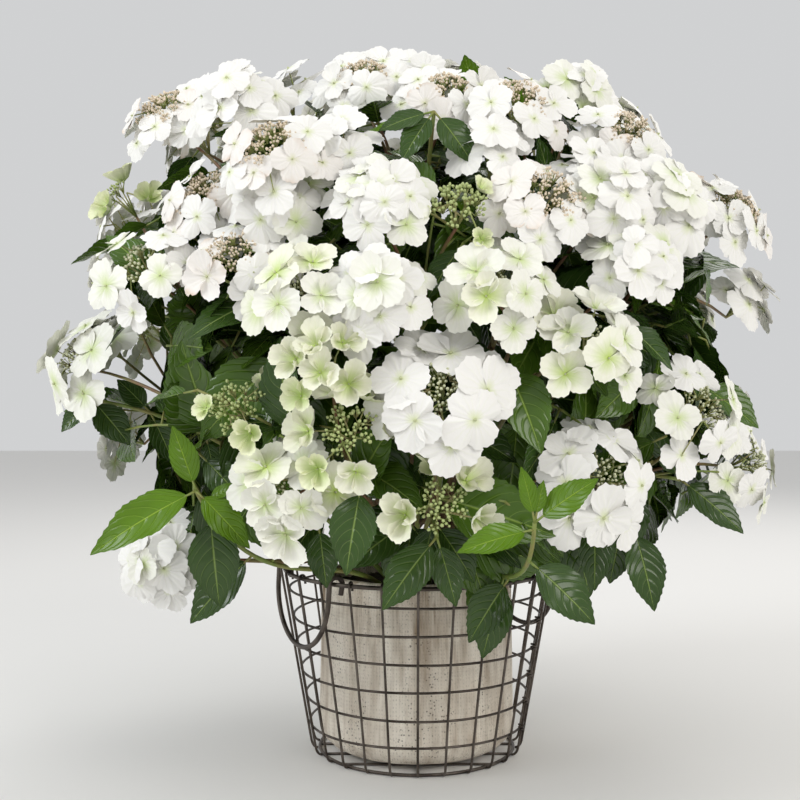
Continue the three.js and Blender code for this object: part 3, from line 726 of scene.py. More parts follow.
SEPAL_LIME = sepal_finish("sepal_lime", rgb(0.44, 0.62, 0.10), rgb(0.86, 0.88, 0.64), 0.74)
EYE = plain_finish("eye", rgb(0.62, 0.66, 0.38), 0.6)
BUD_GREEN = plain_finish("bud_green", rgb(0.50, 0.58, 0.24), 0.5)
BUD_PALE = plain_finish("bud_pale", rgb(0.70, 0.72, 0.48), 0.5)
BUD_DRY = plain_finish("bud_dry", rgb(0.86, 0.735, 0.57), 0.8)

# Kinds of flower head: how many florets, how far in they start as a share of the reach, the
# reach and their size, how far they cup and their three shades. Then the clusters of buds: how
# many, how far out they go, how many beads each has, their size and tone, and how deep they
# sit below the florets. `turns` places the florets one by one.
HEAD_KINDS = {
    "full": {"florets": 12, "inner": 0.0, "reach": 0.72, "size": 0.79, "cup": (-0.22, 0.06),
             "sepals": (SEPAL_WHITE, SEPAL_WHITE, SEPAL_CREAM), "clusters": 0},
    "wreath": {"florets": 9, "inner": 0.62, "reach": 0.82, "size": 0.98, "cup": (-0.16, 0.04),
               "sepals": (SEPAL_WHITE,) * 3, "clusters": 12, "buds_to": 0.44, "bead": 0.95,
               "tone": BUD_PALE, "sink": 0.010},
    "aged": {"florets": 10, "inner": 0.54, "reach": 0.78, "size": 0.74, "cup": (-0.20, 0.08),
             "sepals": (SEPAL_WHITE, SEPAL_WHITE, SEPAL_OLD), "clusters": 19, "buds_to": 0.68,
             "beads": 10, "bead": 0.86, "tone": BUD_DRY},
    "lace": {"florets": 8, "inner": 0.56, "reach": 0.82, "size": 0.80, "cup": (-0.15, 0.12),
             "sepals": (SEPAL_WHITE, SEPAL_CREAM, SEPAL_CREAM), "clusters": 11, "buds_to": 0.52,
             "bead": 0.9, "tone": BUD_PALE, "sink": 0.009},
    "cream": {"florets": 8, "inner": 0.30, "reach": 0.70, "size": 0.82, "cup": (-0.05, 0.40),
              "sepals": (SEPAL_CREAM, SEPAL_CREAM, SEPAL_FRESH), "clusters": 7, "buds_to": 0.40,
              "bead": 0.85, "tone": BUD_PALE, "sink": 0.010},
    "young": {"florets": 7, "inner": 0.0, "reach": 0.62, "size": 0.60, "cup": (0.45, 0.95),
              "sepals": (SEPAL_FRESH, SEPAL_FRESH, SEPAL_LIME), "clusters": 0},
    "fresh": {"florets": 6, "inner": 0.80, "reach": 0.70, "size": 0.68, "cup": (0.45, 0.95),
              "sepals": (SEPAL_FRESH, SEPAL_FRESH, SEPAL_LIME), "clusters": 13, "buds_to": 0.56,
              "bead": 1.05, "tone": BUD_GREEN},
    "open": {"florets": 4, "inner": 0.80, "reach": 0.70, "size": 0.66, "cup": (0.45, 0.95),
             "turns": (15, 160, 225, 272), "sepals": (SEPAL_FRESH, SEPAL_FRESH, SEPAL_LIME), "clusters": 13,
             "buds_to": 0.56, "bead": 1.05, "tone": BUD_GREEN},
    "bud": {"florets": 3, "inner": 0.8, "reach": 0.60, "size": 0.38, "cup": (0.35, 0.7),
            "sepals": (SEPAL_LIME,) * 3, "clusters": 14, "buds_to": 0.72, "bead": 1.05,
            "tone": BUD_GREEN},
    "cups": {"florets": 3, "inner": 0.5, "reach": 0.46, "size": 0.62, "cup": (0.65, 1.0),
             "sepals": (SEPAL_LIME,) * 3, "clusters": 4, "buds_to": 0.45, "bead": 0.9,
             "tone": BUD_GREEN},
    "spray": {"florets": 6, "inner": 0.0, "reach": 0.54, "size": 0.80, "cup": (-0.2, 0.02),
              "sepals": (SEPAL_WHITE,) * 3, "clusters": 0},
}


# Basket


def wall_radius(height):
    return RIM_RADIUS - WALL_SLOPE * (RIM_HEIGHT - height)


def around(radius, height, points, wave=0.0, phase=0.0):
    """A ring about Z whose radius and height waver a little, as hand-bent wire does."""
    angle = full_turn(points)
    wide = radius + wave * np.sin(3 * angle + phase)
    high = height + wave * np.sin(2 * angle + 2 * phase)
    return spatial(wide * np.cos(angle), wide * np.sin(angle), high)


def ring_tube(surface, centres, wire, sides, finish):
    """A closed ring of round wire: circles of the wire's radius about each centre in turn."""
    outward = unit(centres * np.array([1, 1, 0]))
    circles = centres[:, None] + wire / 2 * between(outward[:, None], UP, full_turn(sides)[None, :, None])
    surface.sheets(circles[None, :, ::-1], finish, closed=True, ring=True)


def turned_about_z(points, angle):
    """Points turned about Z by each angle of an array; the angles come first in the result."""
    angle = np.asarray(angle, float).reshape(-1, 1)
    x, y, z = points[..., 0], points[..., 1], points[..., 2]
    return spatial(x * np.cos(angle) - y * np.sin(angle), x * np.sin(angle) + y * np.cos(angle), z)


def upright_route():
    """One upright in the plane y = 0: hooked over the rim, down the wall and in under it."""
    hook = RIM_WIRE / 2 + MESH_WIRE / 2 + HOOK_GAP
    turn = np.radians(np.linspace(-150, 0, 8))
    over = spatial(RIM_RADIUS + hook * np.cos(turn), 0.0, RIM_HEIGHT - hook * np.sin(turn))
    tail = over[:1] + UPRIGHT_TAIL
    start = np.array([wall_radius(CORNER_RADIUS), 0, CORNER_RADIUS])
    low = MESH_WIRE / 2 + FLOOR_GAP
    bend = np.array([wall_radius(low), 0, low])
    end = np.array([BASE_RING_RADIUS + BASE_RING_WIRE / 2 + FLOOR_GAP, 0, low])
    corner = bent(start, bend, end, np.linspace(0, 1, 8)[:, None])
    top = over[-1]
    fall = np.linspace(0.12, 0.95, 12)[:, None]
    wall = top + (start - top) * fall
    return np.concatenate([tail, over, wall, corner])


def seam_coils():
    """Where the ends of each hoop meet, they wind round an upright: a short helix."""
    t = np.linspace(0, 1, 40)
    turn = 2 * math.pi * COIL_TURNS * t
    coil = MESH_WIRE * COIL_RADIUS
    coils = []
    for height in HOOP_HEIGHTS:
        helix = spatial(wall_radius(height) + coil * np.cos(turn), coil * np.sin(turn),
                        height + (t - 0.5) * MESH_WIRE * COIL_HEIGHT)
        coils.append(turned_about_z(helix, math.radians(SEAM_HEADING - 90))[0])
    return np.stack(coils)


def make_basket():
    rim = Surface("basket_rim_wire")
    ring_tube(rim, around(RIM_RADIUS, RIM_HEIGHT, 120, 0.0003, 1.0), RIM_WIRE, 12, WIRE)
    rim.build("planter", ["basket_rim"])

    wall = Surface("basket_wall_wires")
    route = upright_route()
    angles = np.radians(-90 + 360 / UPRIGHTS * np.arange(UPRIGHTS))
    uprights = turned_about_z(route, angles)
    sway = np.random.default_rng(SEED).normal(0, SWAY, (UPRIGHTS, 1))
    share = np.sin(np.linspace(0, math.pi, len(route)))[None, :]
    side = spatial(-np.sin(angles), np.cos(angles), 0.0)[:, None]
    uprights = uprights + side * (sway * share)[..., None]
    wall.tubes(uprights, MESH_WIRE / 2, 8, WIRE)
    for i, height in enumerate(HOOP_HEIGHTS):
        inside = wall_radius(height) - MESH_WIRE + HOOP_PRESS
        ring_tube(wall, around(inside, height, 120, 0.0004, 1.7 * i), MESH_WIRE, 8, WIRE)
    wall.tubes(seam_coils(), MESH_WIRE * COIL_WIRE, 6, WIRE)
    wall.build("planter", ["basket_wall"])

    base = Surface("basket_base_wires")
    ring_tube(base, around(BASE_RING_RADIUS, BASE_RING_WIRE / 2, 96), BASE_RING_WIRE, 8, WIRE)
    offsets = (np.arange(BASE_WIRES) - (BASE_WIRES - 1) / 2) * BASE_WIRE_SPACING
    half = np.sqrt(BASE_RING_RADIUS ** 2 - offsets ** 2)[:, None]
    run = np.linspace(-1, 1, 9)
    across = spatial(half * run, offsets[:, None], BASE_WIRE / 2)
    base.tubes(across, BASE_WIRE / 2, 8, WIRE)
    over = spatial(0.0, BASE_RING_RADIUS * run, BASE_WIRE)[None]
    base.tubes(over, BASE_WIRE / 2, 8, WIRE)
    base.build("planter", ["basket_base"])


# Handles


def handle_place(points, heading):
    """From a handle's own frame (hinge line along x, y out of the basket) to the basket's."""
    hinge = RIM_RADIUS * math.cos(HANDLE_HALF_ANGLE)
    return turned_about_z(points + np.array([0, hinge, RIM_HEIGHT]), math.radians(180 + heading))[0]


def in_handle_frame(points, heading):
    """The way back: from the basket's frame to a handle's own."""
    back = turned_about_z(points, math.radians(-180 - heading))[0]
    return back - np.array([0, RIM_RADIUS * math.cos(HANDLE_HALF_ANGLE), RIM_HEIGHT])


def handle_route():
    """A tail, a hook over the rim (a half circle), and a quarter of an ellipse down to the
    middle; then the same again, mirrored."""
    half_width = RIM_RADIUS * math.sin(HANDLE_HALF_ANGLE)
    hook = (HOOK_BORE + HANDLE_WIRE) / 2
    turn = np.radians(np.linspace(180, 0, 17))
    over = spatial(half_width, hook * np.cos(turn), hook * np.sin(turn))
    t = np.linspace(0, 1, 5)[:-1, None]
    tail = np.array([half_width - 0.002, -hook, -HOOK_TAIL])
    tail = tail + (over[0] - tail) * t
    quarter = np.radians(np.linspace(0, 90, 25))
    drop = HANDLE_LEG + (HANDLE_DROP - HANDLE_LEG) * np.sin(quarter)
    bow = spatial(half_width * np.cos(quarter), hook, -drop)
    right = np.concatenate([tail, over, bow])
    left = (right * np.array([-1, 1, 1]))[-2::-1]
    route = np.concatenate([right, left])
    lean_cos, lean_sin = math.cos(HANDLE_LEAN), math.sin(HANDLE_LEAN)
    x, y, z = route.T
    return np.stack([x, y * lean_cos - z * lean_sin, y * lean_sin + z * lean_cos], -1)


def make_handles():
    route = handle_route()
    for name, heading in HANDLE_HEADINGS.items():
        handle = Surface(name + "_wire")
        handle.tubes(handle_place(route, heading)[None], HANDLE_WIRE / 2, 12, WIRE)
        handle.build(name, [name])


# Pot and compost


def pot_profile():
    """[radius, height, flute] up the outside, over the rounded lip and down inside."""
    shoulder = POT_RADIUS - POT_FOOT_RADIUS
    turn = np.radians(np.linspace(-90, 0, 14))
    foot = spatial(POT_FOOT_RADIUS + shoulder * np.cos(turn),
                   POT_FOOT_HEIGHT + shoulder * (1 + np.sin(turn)), np.sin(turn + math.pi / 2))
    side_share = np.linspace(0, 1, 22)[1:, None]
    top = np.array([POT_RIM_RADIUS, POT_HEIGHT - POT_LIP, 0.7])
    side = foot[-1] + (top - foot[-1]) * side_share
    lip_turn = np.radians(np.linspace(0, 180, 9))[1:]
    lip = spatial(POT_RIM_RADIUS - POT_WALL / 2 + POT_WALL / 2 * np.cos(lip_turn),
                  POT_HEIGHT - POT_LIP + POT_LIP * np.sin(lip_turn), 0.6)
    inside = np.array([[POT_RIM_RADIUS - POT_WALL, SOIL_HEIGHT - 0.02, 0.0]])
    middle = np.array([[0.004, POT_FOOT_HEIGHT, 0.0]])
    return np.concatenate([middle, foot, side, lip, inside])


def make_pot():
    """Radius = the profile's, less its flute share times the flute depth times
    (1 - cos of 24 times the angle) / 2."""
    profile = pot_profile()
    angle = full_turn(FLUTES * 8)
    dip = FLUTE_DEPTH * (0.5 - 0.5 * np.cos(FLUTES * angle))
    radius = profile[:, None, 0] - profile[:, None, 2] * dip
    x, y = radius * np.cos(angle), radius * np.sin(angle)
    pot = Surface("fluted_pot")
    grid = spatial(x, y, profile[:, None, 1])[None, :, ::-1]
    pot.sheets(grid, POT, closed=True)
    pot.lids(grid.shape[:3], POT)
    pot.build("planter", ["pot"])


def make_compost():
    """A disc whose height wavers by a sum of eight sine waves in seeded directions."""
    draw = np.random.default_rng(SEED + 1)
    radius = np.linspace(0.002, POT_RIM_RADIUS - POT_WALL + 0.0005, 40)[:, None]
    angle = full_turn(72)[None, :]
    x, y = radius * np.cos(angle), radius * np.sin(angle)
    high = SOIL_HEIGHT + 0 * x
    for _ in range(8):
        way = draw.uniform(0, 2 * math.pi)
        pitch = draw.uniform(120, 600)
        high = high + SOIL_LUMP * 0.35 * np.sin(pitch * (x * math.cos(way) + y * math.sin(way)) + way)
    compost = Surface("compost_top")
    grid = spatial(x, y, high)[None, :, ::-1]
    compost.sheets(grid, COMPOST, closed=True)
    compost.lids(grid.shape[:3], COMPOST, ends=[0])
    compost.build("planter", ["soil"])


# Crown


def lay_out_masses():
    """Every mass with its fork, its node and its flower heads. The near side's heads stand as in
    the table. A far mass has them round its middle by even steps, turned on by the golden angle
    from one mass of a tier to the next."""
    rows = []
    for name, leads, push, heads in NEAR_SIDE:
        heading, rise, kinds = (np.array(column) for column in zip(*heads))
        toward = heading_vector(np.radians(heading), np.radians(rise))
        rows.append((name, leads, push, toward, list(kinds)))
    for tier, leads, places, rise, spread, kinds in FAR_SIDE_TIERS:
        for i, (heading, push) in enumerate(places):
            middle = heading_vector(np.radians(heading), np.radians(rise))
            turns = np.radians(90 + 360 * np.arange(len(kinds)) / len(kinds)) + i * GOLDEN_ANGLE
            toward = leaned(middle[None], math.radians(spread), turns[:, None])
            rows.append((f"back_{tier}_{i + 1}", leads, push, toward, kinds))
    masses = []
    for name, leads, push, toward, kinds in rows:
        direction = unit(toward.sum(axis=0))
        light = 0 if name.startswith("back") else HEAD_TO_LIGHT
        masses.append({
            "name": name, "leads": leads, "push": push, "kinds": kinds, "direction": direction,
            "heading": math.degrees(math.atan2(direction[0], -direction[1])),
            "rise": math.degrees(math.asin(direction[2])),
            "heads": along_crown(toward, push), "facing": unit(toward + HEAD_LIFT * UP + light),
            "fork": along_crown(direction, FORK_SHARE * push),
            "node": along_crown(direction, NODE_SHARE * push)})
    return masses


def nearest_mass(points):
    """The mass whose node lies nearest to each point."""
    nodes = np.stack([mass["node"] for mass in MASSES])
    return np.linalg.norm(points[:, None] - nodes[None], axis=-1).argmin(axis=1)


def apart(points, others, space):
    """Which points lie more than `space` from every one of the others."""
    return np.linalg.norm(points[:, None] - others[None], axis=-1).min(axis=1) > space


def lay_out_fine_tips():
    """Directions spread evenly over the crown by the golden angle. Where there is room between
    the flower heads, the higher ones away from the front end in a spray of florets, and the
    others are leafy."""
    draw = np.random.default_rng(SEED + 3)
    index = np.arange(FINE_SHOOTS) + 0.5
    rise = np.arcsin(np.sin(LOWEST_RISE) + (1 - np.sin(LOWEST_RISE)) * index / FINE_SHOOTS)
    toward = heading_vector(index * GOLDEN_ANGLE, rise)
    rim = along_crown(toward, SPRAY_REACH)
    heads = np.concatenate([mass["heads"] for mass in MASSES])
    low, high = SPRAY_HEIGHT
    likely = np.clip((rim[:, 2] - low) / (high - low), 0, 1) ** 1.5
    flowers = apart(rim, heads, SPRAY_ROOM) & (draw.uniform(0, 1, FINE_SHOOTS) < likely)
    flowers &= rim[:, 1] > SPRAY_FRONT
    named = heading_vector(*np.radians(np.array(FRONT_SPRAYS, float).T))
    sprays = np.concatenate([along_crown(named, SPRAY_REACH), rim[flowers]])
    leafy = apart(rim, np.concatenate([heads, sprays]), HEAD_ROOM)
    tips = along_crown(toward, draw.uniform(*FINE_REACH, (FINE_SHOOTS, 1)))[leafy]
    return sprays, unit(np.concatenate([named, toward[flowers]]) + HEAD_LIFT * UP), tips


def side_of(name):
    if not name.startswith("back"):
        return "near"
    return "rear_top" if "upper" in name else "rear"


MASSES = lay_out_masses()
SIDE_OF_MASS = np.array([side_of(mass["name"]) for mass in MASSES])
SIDES = ("near", "rear", "rear_top")
SPRAY_PLACES, SPRAY_FACINGS, LEAFY_TIPS = lay_out_fine_tips()
HEAD_PLACES = np.concatenate([mass["heads"] for mass in MASSES] + [SPRAY_PLACES])
HEAD_FACINGS = np.concatenate([mass["facing"] for mass in MASSES] + [SPRAY_FACINGS])
HEAD_KIND = np.concatenate([mass["kinds"] for mass in MASSES] + [["spray"] * len(SPRAY_PLACES)])
HEAD_MASS = np.concatenate([np.full(len(mass["heads"]), i) for i, mass in enumerate(MASSES)]
                           + [nearest_mass(SPRAY_PLACES)])


def cane_guides(mass):
    foot = CANE_CIRCLE * heading_vector(np.radians(mass["heading"]), 0.0) + SOIL_HEIGHT * UP
    length = np.linalg.norm(mass["fork"] - foot)
    return [foot, foot + 0.3 * length * UP, mass["fork"] - 0.35 * length * mass["direction"], mass["fork"]]


def bough_guides(mass, cane, share):
    root = evenly(cane, [share])[0]
    along = unit(evenly(cane, [share + 0.01])[0] - evenly(cane, [share - 0.01])[0])
    length = np.linalg.norm(mass["fork"] - root)
    outward = unit(along + mass["direction"])
    return [root, root + 0.3 * length * outward, mass["fork"] - 0.35 * length * mass["direction"],
            mass["fork"]]


def heading_gap(first, second):
    return abs((first - second + 540) % 360 - 180)


def grow_limbs():
    """Guides and radii of every limb: a leader's is a cane, and the others branch off the cane
    with the nearest heading, the lowest of them first."""
    leaders = [mass for mass in MASSES if mass["leads"]]
    limbs = [(mass, cane_guides(mass), CANE_RADII) for mass in leaders]
    for leader, cane, _ in list(limbs):
        followers = [mass for mass in MASSES if not mass["leads"] and min(
            leaders, key=lambda other: heading_gap(mass["heading"], other["heading"])) is leader]
        followers.sort(key=lambda mass: mass["rise"])
        for i, mass in enumerate(followers):
            share = 0.2 + 0.5 * i / max(len(followers) - 1, 1)
            limbs.append((mass, bough_guides(mass, cane, share), BOUGH_RADII))
    return limbs


def make_limbs():
    """Bark: radius times 1 + ridges that wander round the limb + a swelling at every node."""
    steps, sides = 40, 10
    limbs = grow_limbs()
    paths = np.stack([evenly(guides, np.linspace(0, 1, steps)) for _, guides, _ in limbs])
    share = np.linspace(0, 1, steps)
    radii = np.stack([root + (tip - root) * share for _, _, (root, tip) in limbs])
    lengths = np.array([np.linalg.norm(np.diff(path, axis=0), axis=1).sum() for path in paths])
    order = np.arange(len(limbs))[:, None]
    knuckles = np.cos(2 * math.pi * (share * lengths[:, None] / NODE_SPACING + 0.37 * order))
    radii = radii * (1 + 0.16 * np.clip(knuckles, 0, 1) ** 8)
    angle = full_turn(sides)
    ridges = 0.07 * np.sin(3 * angle + 9 * share[:, None])
    ridges = ridges + 0.05 * np.sin(5 * angle - 23 * share[:, None])
    relief = np.broadcast_to(ridges, (len(limbs), steps, sides))
    bark = Surface("canes_and_boughs")
    bark.tubes(paths, radii, sides, BARK, relief)
    nodes = [("cane_" if mass["leads"] else "bough_") + mass["name"] for mass, _, _ in limbs]
    bark.build("planter", nodes)


# Twigs


def twig_paths(starts, ends, heading, points=8):
    """Curved twigs (a quadratic curve): each leaves along its stem and turns to its tip."""
    length = np.linalg.norm(ends - starts, axis=-1, keepdims=True)
    guide = starts + heading * length * 0.45 + (ends - starts) * 0.12
    t = np.linspace(0, 1, points)[None, :, None]
    return bent(starts[:, None], guide[:, None], ends[:, None], t)


def grow_twigs():
    """Stems, stalks to the heads and leafy shoots, as paths; the last two with their masses."""
    stems, stalks, stalk_mass, shoots, shoot_mass = [], [], [], [], []
    leafy_mass = nearest_mass(LEAFY_TIPS)
    for number, mass in enumerate(MASSES):
        fork, node, direction = mass["fork"], mass["node"], mass["direction"]
        stems.append(fork + (node - fork) * np.linspace(0, 1, 6)[:, None])
        turns = (np.arange(2) * GOLDEN_ANGLE + SHOOT_TURN)[:, None]
        leading = along_crown(leaned(direction[None], SHOOT_SPREAD, turns), SHOOT_REACH * mass["push"])
        mine = HEAD_MASS == number
        hubs = HEAD_PLACES[mine] - HUB_DEPTH * HEAD_FACINGS[mine]
        tips = np.concatenate([hubs, leading, LEAFY_TIPS[leafy_mass == number]])
        count = len(tips)
        roots = fork + (node - fork) * (1 - FIRST_TWIG_SHARE * np.arange(count)[:, None] / count)
        paths = twig_paths(roots, tips, direction)
        stalks.append(paths[:len(hubs)])
        stalk_mass.append(np.full(len(hubs), number))
        shoots.append(paths[len(hubs):])
        shoot_mass.append(np.full(count - len(hubs), number))
    return [np.stack(stems)] + [np.concatenate(part) for part in (stalks, stalk_mass, shoots, shoot_mass)]


# Leaves


def leaf_grids(origin, along, facing, length, width, arch, fold, phase):
    """Leaves (count, rows, columns, 3). In a leaf's own frame x runs from root to tip. Its half
    width goes as x^0.8 (1 - x)^1.1, widest at 0.42, with every other row of the edge drawn out
    and forward to a tooth. The midrib bends down as the square of x, the two halves rise from
    it, and the edge waves."""
    rows, columns = 25, 5
    u = np.linspace(0, 1, rows)[None, :, None]
    v = np.linspace(-1, 1, columns)[None, None, :]
    half = 0.5 * width * u ** 0.8 * (1 - u) ** 1.1 / 0.2745 + 0.004
    edge = np.abs(v) > 0.9
    tooth = np.where(np.arange(rows) % 2 == 1, 1.0, -0.6)[None, :, None]
    tooth = tooth * edge * (u > 0.08) * (u < 0.97)
    x = u + 0.009 * tooth + 0 * v
    y = half * v * (1 + 0.032 * tooth)
    wave = 0.018 * np.sin(2 * math.pi * 2.6 * u + phase) * v * v
    z = -arch * u * u + fold * np.abs(y) * (1 - 0.35 * u) + wave * np.sin(math.pi * u)
    return placed(x, y, z, origin, along, facing, length)


def placed(x, y, z, origin, along, facing, size):
    """Points of a local frame carried to origin, with x along `along` and z near `facing`."""
    along = unit(along)
    normal = unit(facing - along * dot(facing, along))
    side = np.cross(normal, along)
    size = size.reshape(-1, 1, 1, 1)
    return origin[:, None, None] + size * (
        x[..., None] * along[:, None, None] + y[..., None] * side[:, None, None]
        + z[..., None] * normal[:, None, None])


def leaf_candidates(paths, owners, shares, draw, young):
    """Roots, twig directions and turns of opposite pairs of leaves set crosswise up each twig,
    with the pair's place from the tip, the mass and the twig's number."""
    at, way, turn, order, mass, twig = [], [], [], [], [], []
    spin = draw.uniform(0, 2 * math.pi, (len(paths), 1))
    along = tangents(paths)
    for i, share in enumerate(shares):
        step = share * (paths.shape[1] - 1)
        low = min(int(step), paths.shape[1] - 2)
        part = step - low
        point = paths[:, low] * (1 - part) + paths[:, low + 1] * part
        direction = unit(along[:, low] * (1 - part) + along[:, low + 1] * part)
        for side in (0, math.pi):
            at.append(point)
            way.append(direction)
            turn.append(spin + i * math.pi / 2 + side)
            order.append(np.full(len(paths), i if young else i + 1))
            mass.append(owners)
            twig.append(np.arange(len(paths)) if young else np.full(len(paths), -1))
    return [np.concatenate(part) for part in (at, way, turn, order, mass, twig)]


def leaf_stands_clear(roots, middles, tips, sides, shown):
    """Leaves that keep inside the crown, off the basket and handles, above the skirt's edge, out
    of the flower heads, from before those of the near side and the leaves shown there, and out of
    the sky's openings."""
    outer = 0.5 * (middles + tips)
    points = np.stack([roots, middles, outer, tips, middles + sides, middles - sides], 1)
    limit = np.where(points[..., 1] > FAR_SIDE_FROM, LEAF_LIMITS[1], LEAF_LIMITS[0])
    inside = np.linalg.norm((points - CROWN_CENTRE) / CROWN_RADII, axis=-1) < limit
    radial = np.linalg.norm(points[..., :2], axis=-1)
    off_basket = (radial > OFF_RIM_RADIUS) | (points[..., 2] > OFF_RIM_HEIGHT)
    high = points[..., 2] > SKIRT_HEIGHT + SKIRT_SLOPE * np.clip(radial - SKIRT_RADIUS, 0, 1)
    fine = inside & off_basket & high
    for heading in HANDLE_HEADINGS.values():
        local = in_handle_frame(points.reshape(-1, 3), heading).reshape(points.shape)
        across, outward, upward = np.moveaxis(local, -1, 0)
        swing = np.hypot(outward, upward) < HANDLE_DROP + SWING_ROOM
        near = (np.abs(across) < SWING_HALF_WIDTH) & (outward > -SWING_ROOM) & (upward < SWING_ROOM)
        before = np.hypot(across, outward - SIGHT_OUT) < SIGHT_RADIUS
        fine &= ~((swing & near) | (before & (upward < SIGHT_HEIGHT)))
    offset = points[:, :, None] - HEAD_PLACES
    height = np.sum(offset * HEAD_FACINGS, axis=-1)
    beside = np.linalg.norm(offset - height[..., None] * HEAD_FACINGS, axis=-1)
    wide = np.array([LEAF_FREE[kind] for kind in HEAD_KIND])
    below, above = HEAD_SPACE
    fine &= ~((beside < wide) & (height > below) & (height < above)).any(axis=-1)
    across, ahead, upward = np.moveaxis(points - CAMERA_PLACE, -1, 0)
    for left, right, low, top in SKY:
        in_line = (across / ahead > left) & (across / ahead < right)
        fine &= ~(in_line & (upward / ahead > low) & (upward / ahead < top))
    before = (offset[..., 1] < 0) & (offset[..., 1] > -IN_SIGHT) & (HEAD_PLACES[:, 1] < 0)
    fine &= ~((np.hypot(offset[..., 0], offset[..., 2]) < HEAD_SIGHT * wide) & before).any(axis=-1)
    offset = points[:, :, None] - shown
    before = (offset[..., 1] < LEAF_BEHIND) & (offset[..., 1] > -IN_SIGHT)
    fine &= ~((np.hypot(offset[..., 0], offset[..., 2]) < LEAF_SIGHT) & before).any(axis=-1)
    return fine.all(axis=1)


def thinned(places, space):
    """Which places stay when each must lie at least `space` from those kept before it."""
    kept = np.zeros(len(places), bool)
    for i in range(len(places)):
        gaps = np.linalg.norm(places[kept] - places[i], axis=1)
        kept[i] = not len(gaps) or gaps.min() > space
    return kept


def grow_leaves(stalks, stalk_mass, shoots, shoot_mass, shown, draw):
    """Leaves on all shoots and stalks, those nearest a tip first, where they stand clear of the
    rest and of each other."""
    on_shoots = leaf_candidates(shoots, shoot_mass, SHOOT_PAIRS, draw, True)
    on_stalks = leaf_candidates(stalks, stalk_mass, STALK_PAIRS, draw, False)
    columns = [np.concatenate(pair) for pair in zip(on_shoots, on_stalks)]
    by_order = np.argsort(columns[3], kind="stable")
    at, way, turn, order, mass, twig = (column[by_order] for column in columns)
    count = len(at)
    splay = LEAF_SPLAY + draw.normal(0, SPLAY_VARIES, (count, 1)) - TIP_SPLAY * (order[:, None] == 0)
    out = leaned(way, splay, turn)
    low = np.clip((HANGS_BELOW[0] - at[:, 2:]) / HANGS_BELOW[1], 0, 1)
    out = unit(out - UP * (LEAF_DROOP * draw.uniform(*DROOP_VARIES, (count, 1)) + 0.5 * low))
    high = np.clip((at[:, 2:] - SMALLER_ABOVE[0]) / SMALLER_ABOVE[1], 0, 1)
    length = LEAF_LENGTH * draw.uniform(*LEAF_SIZES, (count, 1)) * (1 - 0.25 * high)
    length = length * np.where(order[:, None] == 0, TIP_LEAF_SIZE, 1.0)
    roots = at + out * PETIOLE
    arch = draw.uniform(*LEAF_ARCHES, (count, 1))
    outward = unit(at - CROWN_ROOT)
    facing = unit(way + 0.55 * UP + 0.45 * outward + draw.normal(0, 0.12, (count, 3)))
    normal = unit(facing - out * dot(facing, out))
    middles = roots + out * length * 0.5 - normal * arch * length * 0.25
    tips = roots + out * length - normal * arch * length
    sides = np.cross(normal, out) * length * LEAF_WIDTH * 0.5
    keep = leaf_stands_clear(roots, middles, tips, sides, shown)
    index = np.flatnonzero(keep)
    index = index[thinned(middles[index], LEAF_SPACE)]
    return {"at": at[index], "root": roots[index], "out": out[index], "facing": facing[index],
            "length": length[index, 0], "width": np.full(len(index), LEAF_WIDTH),
            "arch": arch[index, 0], "order": order[index],
            "mass": mass[index], "twig": twig[index]}


def front_shoot_leaves(shoot):
    """The leaves named for a shoot, each turned to the front, the first of them leaning out the
    most, and the shoot's path."""
    share, heading, length, tender = (np.array(column) for column in zip(*shoot["leaves"]))
    path = evenly(shoot["route"], np.linspace(0, 1, 25))
    at = evenly(shoot["route"], share)
    heading = np.radians(heading)[:, None]
    count = len(at)
    forward = np.linspace(0.36, 0.08, count)[:, None]
    out = unit(np.concatenate([np.cos(heading), -forward, np.sin(heading)], 1))
    return {"at": at, "root": at + out * PETIOLE * 0.6, "out": out, "length": length, "tender": tender,
            "width": np.where(tender, TENDER_WIDTH, LEAF_WIDTH),
            "facing": np.tile(unit(np.array([0.0, -0.8, 0.6])), (count, 1)),
            "arch": np.full(count, 0.16)}, path[None]


def add_leaves(surface, twigs, leaves, chosen, finish, draw):
    """Blades and their petioles, for the leaves chosen by a mask."""
    count = int(chosen.sum())
    if not count:
        return
    part = {key: value[chosen] for key, value in leaves.items()}
    grids = leaf_grids(
        part["root"], part["out"], part["facing"], part["length"],
        (part["width"] * draw.uniform(0.88, 1.12, count)).reshape(-1, 1, 1),
        part["arch"].reshape(-1, 1, 1), draw.uniform(0.05, 0.45, (count, 1, 1)),
        draw.uniform(0, 2 * math.pi, (count, 1, 1)))
    surface.sheets(grids, finish)
    reach = part["root"] + part["out"] * part["length"][:, None] * 0.03
    t = np.linspace(0, 1, 3)[None, :, None]
    petioles = part["at"][:, None] * (1 - t) + reach[:, None] * t
    twigs.tubes(petioles, np.array([0.0011, 0.0009, 0.0007]), 5, GREEN_STEM)


# Flower heads


def dome_points(place, facing, share, angle, reach):
    """Points of a low dome: out by share times reach, and down as the square of the share."""
    level = perpendicular(facing[None])[0]
    upward = np.cross(facing, level)
    outward = between(level, upward, angle[:, None])
    share = share[:, None]
    high = HEAD_CROWN - (HEAD_CROWN + HEAD_FALL) * share ** 2
    points = place + outward * share * reach + facing * high
    return points, unit(facing + outward * share * FLORET_LEAN)


def nearest_of(places, points):
    """For each point, the nearest of the places."""
    return places[np.linalg.norm(points[:, None] - places[None], axis=-1).argmin(axis=1)]


